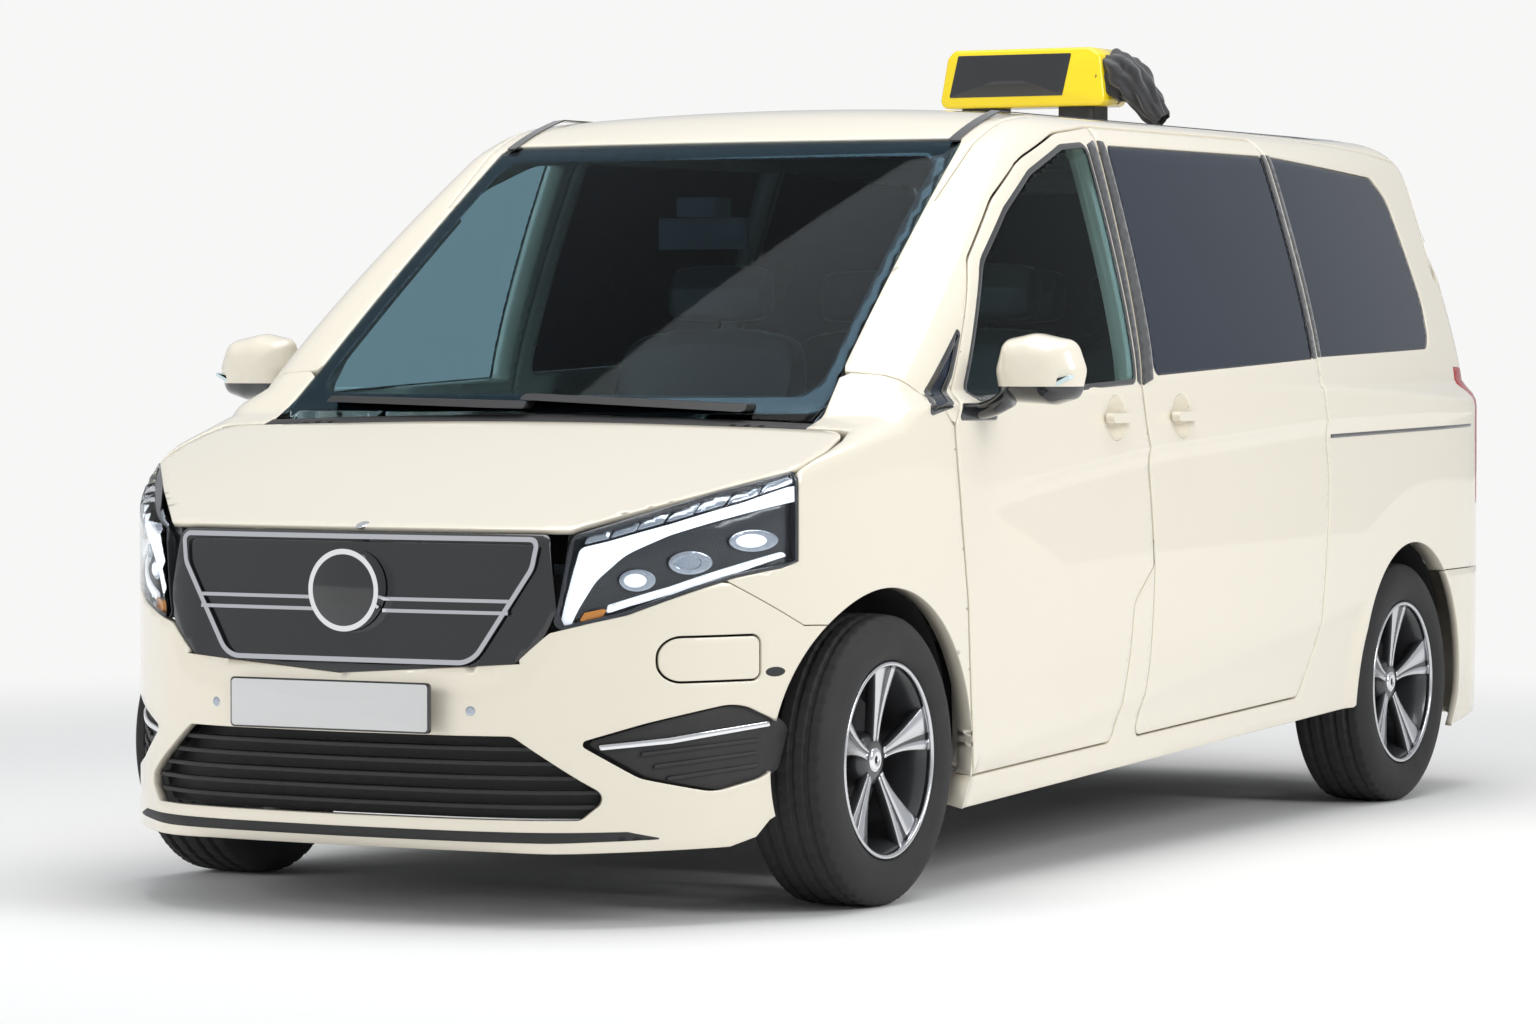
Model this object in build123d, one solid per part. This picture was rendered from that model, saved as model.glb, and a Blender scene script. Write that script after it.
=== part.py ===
from build123d import *
import os
from functools import cache
from math import cos, radians, sin, tan

# Five-door people carrier used as a taxi, with a roof sign.
# Units are millimetres. The nose points along -Y, the car's left side is +X and +Z is up.
# The origin is on the ground, midway along the body and on its centre line.

# Overall sizes
front_overhang = 895.0
wheelbase = 3200.0
rear_overhang = 800.0
half_width = 964.0
roof_height = 1893.0
ground_gap = 165.0

# Wheels
tyre_radius = 335.0
tyre_width = 225.0
rim_radius = 226.0
track_front = 1666.0
track_rear = 1646.0
arch_radius = 394.0
kingpin_lean = 14.0
kingpin_offset = 70.0
spoke_pairs = 5
knuckle_gap = 6.0
pin_radius = 14.0
frame_top = 290.0
rail_low = 470.0
strut_foot = 672.0
strut_top = 950.0

# Walls, glass and shut lines
wall = 60.0
hood_wall = 32.0
hood_lip = 12.0
hood_flange = 45.0
glass_wall = 5.0
glass_sink = 3.0
shut_gap = 5.0
seat_gap = 0.3
recess = 18.0

# Plan curvature: distances to the centres of the arcs that the nose, tail and greenhouse follow
nose_arc_centre = 5200.0
tail_arc_centre = 6000.0
greenhouse_arc = 22000.0

body_length = front_overhang + wheelbase + rear_overhang
nose = -body_length / 2
tail = body_length / 2
front_axle = nose + front_overhang
rear_axle = tail - rear_overhang
middle = (front_axle + rear_axle) / 2
belt = 1175.0

# Heights shared by several pieces
floor_top = 400.0
floor_wall = 40.0
sill_front = 192.0
door_bottom = 268.0
seat_rows = (1990.0, 2800.0)
gutter = 692.0
steering_x = 390.0
sign_y = middle + 1125


def at_front(points):
    """Points given from the front axle, moved to the body's own frame."""
    return [(front_axle + s, z) for s, z in points]


def outline(points, radius):
    """A closed flat face with rounded corners: one radius, or one for each corner."""
    return make_face(FilletPolyline(*points, radius=radius, close=True))


def grown(face, amount):
    """The face with its edge moved outwards by the amount."""
    if amount == 0:
        return face
    return offset(face, amount=amount, kind=Kind.INTERSECTION if amount > 0 else Kind.ARC)


def side_prism(face, x_in, x_out):
    """A face drawn in (y, z), pulled along X between two distances from the centre line."""
    return extrude(Plane.YZ.offset(x_in) * face, amount=x_out - x_in)


def plan_prism(face, z_low, z_high):
    """A face drawn in (x, y), pulled upwards between two heights."""
    return extrude(Plane.XY.offset(z_low) * face, amount=z_high - z_low)


def front_prism(face, y_low, y_high):
    """A face drawn in (x, z), pulled along Y between two stations."""
    return extrude(Plane.XZ.offset(-y_high) * face, amount=y_high - y_low)


def block(x, y, z, radius=0.0):
    """A box between pairs of limits, with its upright edges rounded."""
    box = Pos((x[0] + x[1]) / 2, (y[0] + y[1]) / 2, (z[0] + z[1]) / 2) * Box(
        x[1] - x[0], y[1] - y[0], z[1] - z[0]
    )
    if radius:
        box = fillet(box.edges().filter_by(Axis.Z), radius)
    return box


def both_sides(shape):
    """The shape and its mirror image across the centre line."""
    return [shape, mirror(shape, about=Plane.YZ)]


def solids_of(*shapes):
    """All solids of the shapes, as one group of separate bodies."""
    found = []
    for shape in shapes:
        if isinstance(shape, (list, tuple)):
            for item in shape:
                found += item.solids()
        else:
            found += shape.solids()
    return found


def biggest(shape):
    """The largest solid of a shape, without the slivers that a cut leaves."""
    return max(shape.solids(), key=lambda solid: solid.volume)


# Master surface of the body
def front_form():
    """Bumper, grille, hood, windshield and roof front, turned about a far upright axis."""
    bumper = FilletPolyline(
        *at_front([(-805, ground_gap - 5), (-858, 196), (-868, 290), (-895, 430), (-895, 505),
                   (-884, 548), (-835, 566), (-799, 872), (-745, 888)]),
        radius=[20, 40, 60, 25, 12, 10, 22],
    )
    hood = ThreePointArc(*at_front([(-745, 888), (-402, 1001), (-15, 1118)]))
    glass = ThreePointArc(*at_front([(-15, 1118), (420, 1455), (871, 1776)]))
    header = ThreePointArc(*at_front([(871, 1776), (1095, 1857), (1440, roof_height + 12)]))
    axis_y = front_axle + nose_arc_centre
    close = Polyline(header @ 1, (axis_y - 900, roof_height + 120), (axis_y - 900, 0),
                     (front_axle - 805, 0), bumper @ 0)
    face = Plane.YZ * make_face([*bumper.edges(), hood, glass, header, *close.edges()])
    axis = Axis((0, axis_y, 0), (0, 0, 1))
    return revolve(face.rotate(axis, -55), axis=axis, revolution_arc=110)


def rear_form():
    """Rear bumper, tailgate, rear window and roof, turned about a far upright axis."""
    points = [(-90, 200), (-22, 300), (0, 430), (0, 560), (-40, 655), (-48, 700),
              (-62, 1190), (-178, 1790), (-290, 1866), (-1300, roof_height + 28)]
    lower = FilletPolyline(*[(tail + y, z) for y, z in points],
                           radius=[60, 60, 60, 30, 30, 60, 50, 300])
    axis_y = tail - tail_arc_centre
    close = Polyline(lower @ 1, (axis_y + 800, roof_height + 160), (axis_y + 800, 0),
                     (tail - 90, 0), lower @ 0)
    face = Plane.YZ * make_face([*lower.edges(), *close.edges()])
    axis = Axis((0, axis_y, 0), (0, 0, 1))
    return revolve(face.rotate(axis, -55), axis=axis, revolution_arc=110)


def cross_form(inset):
    """Straight prism of the lower cross-section and the roof crown, without wheel arches."""
    side = half_width - inset
    crown = roof_height + 3 - inset
    section = make_face([
        Line((-(side - 52), 10), (side - 52, 10)),
        Line((side - 52, 10), (side - 34, 200)),
        ThreePointArc((side - 34, 200), (side, 690), (side - 12, 1140)),
        Line((side - 12, 1140), (side - 20, crown - 70)),
        ThreePointArc((side - 20, crown - 70), (0, crown), (-(side - 20), crown - 70)),
        Line((-(side - 20), crown - 70), (-(side - 12), 1140)),
        ThreePointArc((-(side - 12), 1140), (-side, 690), (-(side - 34), 200)),
        Line((-(side - 34), 200), (-(side - 52), 10)),
    ])
    return front_prism(section, nose - 100, tail + 100)


def greenhouse_form(inset):
    """Tumblehome of the windows and pillars, curved in plan about the middle of the car."""
    edge = half_width - 16 - inset
    eave = roof_height - 37 - inset
    section = make_face([
        Polyline((-1250, -20), (1180, -20), (1180, belt - 14), (edge, belt)),
        ThreePointArc((edge, belt), (edge - 70, belt + 320), (edge - 164, eave - 63)),
        ThreePointArc((edge - 164, eave - 63), (edge - 192, eave - 23), (edge - 248, eave)),
        Polyline((edge - 248, eave), (edge - 420, eave + 70), (-1250, eave + 70), (-1250, -20)),
    ])
    axis = Axis((-greenhouse_arc, middle + 150, 0), (0, 0, 1))
    face = Pos(0, middle + 150, 0) * (Plane.XZ * section)
    left = revolve(face.rotate(axis, -10), axis=axis, revolution_arc=20)
    return left, mirror(left, about=Plane.YZ)


def plan_form(inset):
    """Outline of the body from above, pulled up as a prism."""
    side = half_width + 2 - inset
    front = front_axle + inset
    back = tail - inset
    half = make_face([
        ThreePointArc((0, front - 898), (300, front - 863), (551, front - 766)),
        ThreePointArc((551, front - 766), (side - 214, front - 560), (side - 86, front - 290)),
        ThreePointArc((side - 86, front - 290), (side - 30, front - 110), (side, front + 120)),
        Line((side, front + 120), (side, back - 560)),
        ThreePointArc((side, back - 560), (side - 36, back - 240), (side - 121, back - 75)),
        ThreePointArc((side - 121, back - 75), (side - 176, back - 38), (side - 266, back - 22)),
        ThreePointArc((side - 266, back - 22), (350, back - 3), (0, back + 4)),
        Line((0, back + 4), (0, front - 898)),
    ])
    whole = half + mirror(half, about=Plane.YZ)
    return plan_prism(whole, -40, 2150)


@cache
def body_form(inset):
    """The whole body's solid outer form, moved inwards by the inset."""
    front = Pos(0, inset, -inset) * front_form()
    rear = Pos(0, -inset, -inset) * rear_form()
    left, right = greenhouse_form(inset)
    return biggest(cross_form(inset) & plan_form(inset) & left & right & front & rear)


def axle_arch(y, z, radius, x_in, x_out):
    """A cylinder across the car that opens a wheel arch."""
    disc = Pos(y, z) * Circle(radius)
    return side_prism(Sketch() + disc, x_in, x_out)


def region(points, radius, grow=0.0):
    """A rounded outline, grown or shrunk for a shut line."""
    return grown(outline(points, radius), grow)


# Outlines of the panels, in (y, z) for the side and in (x, z) or (x, y) for the ends
def front_door_outline(grow):
    return region(at_front([
        (404, door_bottom), (377, 684), (310, 1098), (590, 1486), (800, 1640), (985, 1740),
        (1230, 1812), (1472, 1836), (1438, 1768), (1370, 1172), (1396, 1026), (1408, 728),
        (1288, 640), (1268, 500), (1216, door_bottom + 28)]),
        [30, 60, 60, 120, 300, 300, 300, 4, 40, 80, 80, 20, 60, 80, 30], grow)


def sliding_door_outline(grow):
    return region(at_front([
        (1472, 1836), (1438, 1768), (1370, 1172), (1396, 1026), (1410, 728), (1392, 480),
        (1352, door_bottom + 33), (2410, door_bottom + 70), (2500, 470), (2575, 916), (2562, 1247),
        (2570, 1790), (2540, 1838)]),
        [4, 40, 80, 80, 80, 80, 30, 40, 120, 200, 60, 20, 20], grow)


def door_glass_outline(grow):
    return region(at_front([
        (420, 1160), (640, 1478), (830, 1608), (1010, 1702), (1230, 1772), (1372, 1782),
        (1330, 1195)]),
        [20, 120, 200, 200, 100, 20, 15], grow)


def corner_glass_outline(grow):
    return region(at_front([(170, 1118), (300, 1140), (375, 1210), (470, 1338)]),
                  [8, 12, 20, 6], grow)


def sliding_glass_outline(grow):
    return region(at_front([(1450, 1205), (2530, 1245), (2538, 1795), (1500, 1790)]),
                  [30, 10, 10, 30], grow)


def quarter_glass_outline(grow):
    return region(at_front([(2590, 1250), (3560, 1272), (3575, 1400), (3500, 1700), (3410, 1760),
                            (2598, 1796)]), [10, 60, 80, 80, 60, 10], grow)


def windshield_outline(grow):
    return region([(-742, 1090), (742, 1090), (722, 1216), (652, 1790), (-652, 1790), (-722, 1216)],
                  [10, 10, 60, 25, 25, 60], grow)


def tailgate_outline(grow):
    return region([(-792, 655), (792, 655), (842, 900), (838, 1200), (742, 1790), (690, 1832),
                   (-690, 1832), (-742, 1790), (-838, 1200), (-842, 900)],
                  [60, 60, 60, 80, 60, 80, 80, 60, 80, 60], grow)


def rear_glass_outline(grow):
    return region([(-700, 1225), (700, 1225), (640, 1745), (-640, 1745)], 50, grow)


def hood_outline(grow):
    ends = [(540, front_axle - 735), (705, front_axle - 530), (858, front_axle - 325),
            (872, front_axle - 190), (852, front_axle - 52)]
    points = [(x, y) for x, y in ends]
    mirrored = [(-x, y) for x, y in reversed(points)]
    rear = [(480, front_axle - 62), (-480, front_axle - 62)]
    front = [(-500, front_axle - 900), (500, front_axle - 900)]
    return region(points + rear + mirrored + front,
                  [40, 200, 90, 90, 60, 600, 600, 60, 90, 90, 200, 40, 30, 30], grow)


def headlamp_outline(grow):
    return region([(500, 652), (516, 720), (538, 866), (600, 890), (860, 1004), (930, 985),
                   (930, 812), (800, 770), (640, 690)],
                  [20, 60, 20, 60, 20, 10, 10, 60, 60], grow)


def grille_outline(grow):
    return region([(-486, 868), (486, 868), (512, 700), (486, 640), (395, 556), (-395, 556),
                   (-486, 640), (-512, 700)], [20, 20, 30, 60, 30, 30, 60, 30], grow)


def intake_outline(grow):
    return region([(-425, 425), (425, 425), (610, 290), (560, 240), (-560, 240), (-610, 290)],
                  [30, 30, 25, 20, 20, 25], grow)


def side_intake_outline(grow):
    return region([(572, 415), (700, 462), (845, 505), (905, 440), (880, 320), (800, 290),
                   (690, 330)], [10, 80, 40, 60, 40, 40, 60], grow)


def flap_outline(grow):
    low = at_front([(-640, 540), (-420, 540), (-420, 640), (-640, 640)])
    return region(low, [45, 20, 20, 45], grow)


def grille_frame_outline(grow):
    return region([(-474, 862), (474, 862), (462, 790), (326, 578), (-326, 578), (-462, 790)],
                  [22, 22, 60, 70, 70, 60], grow)


# Bright trim of the grille, door handles, and the slats of the lower grille
frame_width = 11.0
handle_z = 1102.0
bowl_radius = 56.0
grip_length = 150.0
grip_height = 24.0
grip_depth = 22.0
bar_heights = (690.0, 716.0, 775.0, 801.0)
bar_height = 8.0
bar_reach = 405.0
disc_radius = 92.0
disc_height = 738.0
disc_face = -846.0
slat_count = 5
slat_low = 258.0
slat_pitch = 34.0
slat_height = 12.0
slat_depth = 14.0

# Wiper arms at rest, each with its pivot end first, in (x, z)
wiper_height = 16.0
wiper_left = [(560, 1128), (556, 1146), (-40, 1168), (-52, 1154)]
wiper_right = [(-20, 1132), (-24, 1150), (-600, 1160), (-612, 1146)]


# Panels of the body shell
def make_grille_trim(proud, ahead):
    """Bright frame, twin bars and plain centre disc, seated just ahead of the grille."""
    frame = front_prism(grille_frame_outline(0), nose - 60, front_axle - 690) - front_prism(
        grille_frame_outline(-frame_width), nose - 60, front_axle - 690)
    shape = proud & frame
    for low in bar_heights:
        for x in ((-bar_reach, -disc_radius + 4), (disc_radius - 4, bar_reach)):
            shape = shape + (proud & block(x, (nose - 60, front_axle - 690), (low, low + bar_height)))
    face = front_axle + disc_face
    disc = Pos(0, face + 20, disc_height) * Rot(90, 0, 0) * Cylinder(disc_radius, 40)
    return biggest(shape + (disc - ahead))


def make_panels():
    """Every panel that is cut from the body shell, by name."""
    outer = body_form(0)
    inner = body_form(wall)
    lip = body_form(hood_lip)
    skin = body_form(glass_sink)
    under_skin = body_form(glass_sink + glass_wall)
    shell = outer - inner
    glass_shell = skin - under_skin
    proud = body_form(-3) - body_form(-seat_gap)
    gap = shut_gap / 2
    cut = {}
    far = 1100.0
    glass_foot = front_axle - 8
    gate_lip = tail - 250

    def side_cut(shape_outline, grow):
        return side_prism(shape_outline(grow), gutter, far)

    # Hood
    hood_zone = plan_prism(hood_outline(-gap), 872, 1400)
    hood_hole = plan_prism(hood_outline(gap), 872 - shut_gap, 1400)
    windshield_zone = front_prism(windshield_outline(0), front_axle - 200, front_axle + 1150)
    windshield_pane = front_prism(windshield_outline(-seat_gap), front_axle - 200,
                                  front_axle + 1150)
    hood_core = plan_prism(hood_outline(-gap - hood_flange), 900, 1400)
    cut["hood"] = [biggest(((outer - lip) & hood_zone) + ((outer - body_form(hood_wall)) & hood_core))]
    cowl_line = plan_prism(hood_outline(gap), 1000, 1400)
    cowl_band = block((-far, far), (front_axle - 200, glass_foot), (1000, 1300))
    cut["cowl"] = [biggest(((outer - lip) & windshield_pane & cowl_band) - cowl_line)]
    pane_band = block((-far, far), (glass_foot + seat_gap, front_axle + 1200), (1000, 2000))
    cut["windshield"] = [biggest(glass_shell & windshield_pane & pane_band)]
    wiped = body_form(-wiper_height) - body_form(glass_sink - seat_gap)
    cut["wipers"] = [biggest(wiped & front_prism(region(points, 5), front_axle - 30, front_axle + 200))
                     for points in (wiper_left, wiper_right)]

    # Lamps, grille and intakes
    lamp_zone = front_prism(headlamp_outline(0), nose - 60, front_axle - 318)
    lamp_body = front_prism(headlamp_outline(-seat_gap), nose - 60, front_axle - 318.3)
    grille_zone = front_prism(grille_outline(0), nose - 60, front_axle - 690)
    grille_body = front_prism(grille_outline(-seat_gap), nose - 60, front_axle - 690)
    intake_zone = front_prism(intake_outline(0), nose - 60, front_axle - 650)
    side_intake_zone = front_prism(side_intake_outline(0), nose - 60, front_axle - 380)
    lamp = biggest((shell & lamp_body) - hood_hole)
    cut["headlamps"] = both_sides(lamp)
    cut["grille"] = [biggest((shell & grille_body) - hood_hole)]
    cut["grille_trim"] = [make_grille_trim(proud, body_form(-seat_gap))]

    # Fenders and front bumper
    arch = axle_arch(front_axle, tyre_radius, arch_radius, 300, far)
    bumper_zone = side_prism(region(at_front([
        (-1000, 120), (-360, 120), (-360, 400), (-302, 655), (-560, 792), (-700, 1050),
        (-1000, 1050)]), 4, -1.0), -far, far)
    flap_hole = side_prism(flap_outline(gap), 600, far)
    bumper = shell & bumper_zone
    for zone in [hood_hole, grille_zone, intake_zone, flap_hole, arch,
                 mirror(arch, about=Plane.YZ), lamp_zone, mirror(lamp_zone, about=Plane.YZ),
                 side_intake_zone, mirror(side_intake_zone, about=Plane.YZ)]:
        bumper = bumper - zone
    cut["front_bumper"] = [biggest(bumper)]
    cut["charge_flap"] = [biggest((outer - lip) & side_prism(flap_outline(-gap), 600, far))]
    recessed = body_form(recess)
    cut["side_intakes"] = both_sides(biggest((recessed - inner) & front_prism(
        side_intake_outline(-seat_gap), nose - 60, front_axle - 380.3)))
    intake_body = front_prism(intake_outline(-seat_gap), nose - 60, front_axle - 650)
    mesh_face = body_form(recess + slat_depth)
    intake = (mesh_face - inner) & intake_body
    for index in range(slat_count):
        low = slat_low + index * slat_pitch
        band = block((-far, far), (nose - 60, front_axle - 650), (low, low + slat_height))
        intake = intake + ((recessed - inner) & intake_body & band)
    cut["lower_grille"] = [biggest(intake)]

    fender_zone = side_prism(region(at_front([
        (-302, 657), (-560, 794), (-560, 1250), (130, 1250), (286, 1110), (305, 1094), (372, 684),
        (399, door_bottom - 4), (300, door_bottom - 4)]),
        [4, 4, 4, 4, 20, 20, 60, 4, 4], -1.0), 400, far)
    fender = (shell & fender_zone) - hood_hole - lamp_zone - arch - windshield_zone
    corner_pane = side_cut(corner_glass_outline, -seat_gap)
    fender = fender - side_cut(corner_glass_outline, 0)
    cut["fenders"] = both_sides(biggest(fender))

    # Roof
    roof_outline = region([(-690, front_axle + 700), (690, front_axle + 700),
                           (690, tail - 150), (-690, tail - 150)], 4, -gap)
    tailgate_hole = front_prism(tailgate_outline(gap), gate_lip - shut_gap, tail + 60)
    roof = (shell & plan_prism(roof_outline, 1700, 2000)) - windshield_zone - tailgate_hole
    cut["roof"] = [biggest(roof)]
    roof_hole = plan_prism(grown(roof_outline, seat_gap), 1700, 2000)
    strip = region([(618, front_axle + 930), (646, front_axle + 930), (646, tail - 420),
                    (618, tail - 420)], 6)
    cut["roof_strips"] = both_sides(biggest(proud & plan_prism(strip, 1700, 2000)))

    # Doors
    door = shell & side_cut(front_door_outline, -gap)
    door = biggest(door - side_cut(door_glass_outline, 0))
    cut["door_left"], cut["door_right"] = [[half] for half in both_sides(door)]
    pane = biggest(glass_shell & side_cut(door_glass_outline, -seat_gap))
    cut["door_glass_left"], cut["door_glass_right"] = [[half] for half in both_sides(pane)]
    sliding = shell & side_cut(sliding_door_outline, -gap)
    sliding = biggest(sliding - side_cut(front_door_outline, gap)
                      - side_cut(sliding_glass_outline, 0))
    cut["sliding_doors"] = both_sides(sliding)
    panes = [biggest(glass_shell & side_cut(name, -seat_gap)) for name in
             (sliding_glass_outline, quarter_glass_outline)]
    panes.append(biggest(glass_shell & corner_pane))
    cut["side_windows"] = [half for pane in panes for half in both_sides(pane)]

    for name, owner, handle_y in (("front", "door", front_axle + 1205), ("slider", "side", front_axle + 1603)):
        bowl = side_prism(Pos(handle_y, handle_z) * Circle(bowl_radius), gutter, far)
        grip = side_prism(Pos(handle_y, handle_z) * SlotOverall(grip_length, grip_height), gutter, far)
        cutter = (outer - recessed) & bowl
        handle = biggest((body_form(-grip_depth) - body_form(-seat_gap)) & grip)
        left, right = both_sides(handle)
        if owner == "door":
            cut["door_left"] = [biggest(cut["door_left"][0] - cutter)]
            cut["door_right"] = [biggest(cut["door_right"][0] - mirror(cutter, about=Plane.YZ))]
            cut["door_handle_left"], cut["door_handle_right"] = [left], [right]
        else:
            cut["sliding_doors"] = both_sides(biggest(sliding - cutter))
            cut["slider_handles"] = [left, right]

    # Sides, from the windshield pillar to the tail lamp
    rear_arch = axle_arch(rear_axle, tyre_radius, arch_radius, 300, far)
    frame_zone = side_prism(region([
        (front_axle + 404, sill_front), (rear_axle - 380, sill_front + 90),
        (rear_axle + 380, sill_front + 90), (rear_axle + 396, 642), (tail + 60, 642),
        (tail + 60, 1990), (front_axle + 850, 1990), (front_axle + 130, 1252),
        (front_axle + 288, 1112), (front_axle + 310, 1096), (front_axle + 376, 684)],
        [4, 4, 4, 4, 4, 4, 4, 4, 20, 20, 60], 0), 300, far)
    frame = shell & frame_zone
    lamp_corners = [(850, 832), (1010, 832), (1010, 1218), (846, 1218)]
    lamp_rear = front_prism(region(lamp_corners, 10),
                            tail - 240, tail + 60)
    for zone in [roof_hole, windshield_zone, tailgate_hole, rear_arch, lamp_rear,
                 side_cut(front_door_outline, gap), side_cut(sliding_door_outline, gap),
                 side_cut(quarter_glass_outline, 0), side_cut(corner_glass_outline, 0)]:
        frame = frame - zone
    cut["side_frames"] = both_sides(biggest(frame))
    tail_lamp = biggest(shell & front_prism(
        region(lamp_corners, 10, -seat_gap), tail - 239.7, tail + 60))
    cut["tail_lamps"] = both_sides(tail_lamp)

    # Rear end
    gate = shell & front_prism(tailgate_outline(-gap), gate_lip, tail + 60)
    gate = gate - front_prism(rear_glass_outline(0), tail - 330, tail + 60)
    cut["tailgate"] = [biggest(gate)]
    cut["tailgate_glass"] = [biggest(glass_shell & front_prism(
        rear_glass_outline(-seat_gap), tail - 330, tail + 60))]
    bumper_rear = side_prism(region([
        (rear_axle + 380, 215), (tail + 60, 150), (tail + 60, 640), (rear_axle + 396, 640)], 4),
        -far, far)
    rear = (shell & bumper_rear) - rear_arch - mirror(rear_arch, about=Plane.YZ)
    cut["rear_bumper"] = [biggest(rear - tailgate_hole)]
    return cut


def turned(section_points, radii):
    """A closed (radius, width) section turned about the X axis."""
    face = outline([(width, radius) for radius, width in section_points], radii)
    return revolve(Plane.XY * face, axis=Axis.X)


def make_tyre():
    """Tyre about the X axis, with its outer side towards +X."""
    half = tyre_width / 2
    return turned([
        (rim_radius, -half + 14), (rim_radius + 38, -half), (tyre_radius - 38, -half),
        (tyre_radius, -half + 28), (tyre_radius, half - 28), (tyre_radius - 38, half),
        (rim_radius + 38, half), (rim_radius, half - 14), (rim_radius - 12, half - 14),
        (rim_radius - 12, half - 40), (rim_radius + 6, half - 46), (rim_radius + 6, 46 - half),
        (rim_radius - 12, 40 - half), (rim_radius - 12, 14 - half)],
        [3, 26, 40, 24, 24, 40, 26, 3, 3, 3, 3, 3, 3, 3])


def make_rim():
    """Cast rim with five twin spokes, a hub, a centre cap and its brake disc."""
    half = tyre_width / 2
    bead = rim_radius - 12.3
    barrel = turned([
        (bead, half - 13), (rim_radius - 0.3, half - 13), (rim_radius - 0.3, half - 9),
        (bead - 8, half - 9), (bead - 22, half - 26), (bead - 24, -half + 30),
        (bead - 10, -half + 8), (bead - 10, -half + 4), (rim_radius - 12.3, -half + 4),
        (rim_radius - 12.3, -half + 42), (rim_radius - 16, -half + 50),
        (rim_radius - 16, half - 50), (rim_radius - 12.3, half - 42)],
        [1, 1, 1, 2, 6, 6, 4, 1, 1, 2, 2, 2, 2])
    hub = Pos(half - 52, 0, 0) * Rot(0, 90, 0) * Cylinder(76, 34)
    cap = Pos(half - 33, 0, 0) * Rot(0, 90, 0) * Cylinder(30, 10)
    rim = barrel + hub + cap
    reach = bead - 14
    for turn in range(spoke_pairs):
        for side in (-1, 1):
            spoke = Polyline((side * 10, 50), (side * 34, 50), (side * 62, reach), (side * 34, reach),
                             (side * 10, 50))
            blade = extrude(Plane.YZ.offset(half - 62) * make_face(spoke), amount=30)
            rim = rim + Rot(360 / spoke_pairs * turn, 0, 0) * blade
    disc = Pos(-20, 0, 0) * Rot(0, 90, 0) * Cylinder(150, 24)
    bell = Pos(17, 0, 0) * Rot(0, 90, 0) * Cylinder(82, 60)
    return biggest(rim + disc + bell)


def steering_axis_x(z):
    """Distance of the leaning steering axis from the centre line at a height."""
    return track_front / 2 - kingpin_offset - (z - tyre_radius) * tan(radians(kingpin_lean))


def make_knuckle():
    """Left upright with its stub axle and strut, on the leaning steering axis."""
    hub_x = track_front / 2
    low_z, high_z = tyre_radius - 95, tyre_radius + 145
    low_x, high_x = steering_axis_x(low_z), strut_foot
    stub = Pos(hub_x - 82.3, front_axle, tyre_radius) * Rot(0, 90, 0) * Cylinder(44, 99.4)
    web = make_face(Polyline((low_x - 30, low_z), (low_x + 8, low_z), (hub_x - 66, tyre_radius - 40),
                             (hub_x - 66, tyre_radius + 40), (high_x + 22, high_z),
                             (high_x - 24, high_z), (hub_x - 150, tyre_radius), (low_x - 30, low_z)))
    carrier = Pos(0, front_axle, 0) * extrude(Plane.XZ * web, amount=30, both=True)
    pin_z = low_z - knuckle_gap + pin_radius * sin(radians(kingpin_lean)) + seat_gap
    pin_foot = Vector(steering_axis_x(pin_z), front_axle, pin_z)
    pin_up = Vector(-sin(radians(kingpin_lean)), 0, cos(radians(kingpin_lean)))
    pin = Plane(origin=pin_foot, z_dir=pin_up) * (Pos(0, 0, 20) * Cylinder(pin_radius, 40))
    top_x = steering_axis_x(strut_top)
    rise = Vector(top_x - high_x, 0, strut_top - high_z)
    lean = Plane(origin=(high_x, front_axle, high_z - 40), z_dir=rise)
    strut = lean * (Pos(0, 0, 155) * Cylinder(24, 310))
    rod = lean * (Pos(0, 0, rise.length / 2 + 20) * Cylinder(10, rise.length + 40))
    tie = block((hub_x - 160, hub_x - 122), (front_axle + 10, front_axle + 150),
                (tyre_radius - 70, tyre_radius - 46))
    return biggest(stub + carrier + strut + rod + tie + pin)


def make_suspension():
    """Front subframe with its lower arms, and the rear axle with its trailing arms."""
    low_z = tyre_radius - 95 - knuckle_gap
    front = block((-450, 450), (front_axle - 60, front_axle + 130), (low_z - 30, frame_top), 20)
    for side in (-1, 1):
        low = steering_axis_x(low_z)
        arm = make_face(Polyline((side * 430, front_axle - 55), (side * (low - 20), front_axle - 24),
                                 (side * (low + 12), front_axle), (side * (low - 20), front_axle + 24),
                                 (side * 430, front_axle + 125), (side * 430, front_axle - 55)))
        post = block((side * 440 - 12, side * 440 + 12), (front_axle + 60, front_axle + 120),
                     (frame_top - 20, rail_low - seat_gap))
        front = front + plan_prism(arm, low_z - 26, low_z) + post
    beam_z = tyre_radius - 50
    rear = Pos(0, rear_axle, beam_z) * Rot(0, 90, 0) * Cylinder(34, track_rear - 180)
    for side in (-1, 1):
        arm = block((side * 560 - 35, side * 560 + 35), (rear_axle - 480, rear_axle + 30),
                    (beam_z - 30, beam_z + 30), 12)
        flange = Pos(side * (track_rear / 2 - 86), rear_axle, tyre_radius) * Rot(0, 90, 0) \
            * Cylinder(70, 22)
        stub = Pos(side * (track_rear / 2 - 65.2), rear_axle, tyre_radius) * Rot(0, 90, 0) \
            * Cylinder(44, 65.6)
        post = block((side * 560 - 25, side * 560 + 25), (rear_axle - 465, rear_axle - 415),
                     (beam_z, floor_top - floor_wall - seat_gap))
        rear = rear + arm + flange + stub + post
    return biggest(front), biggest(rear)


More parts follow.
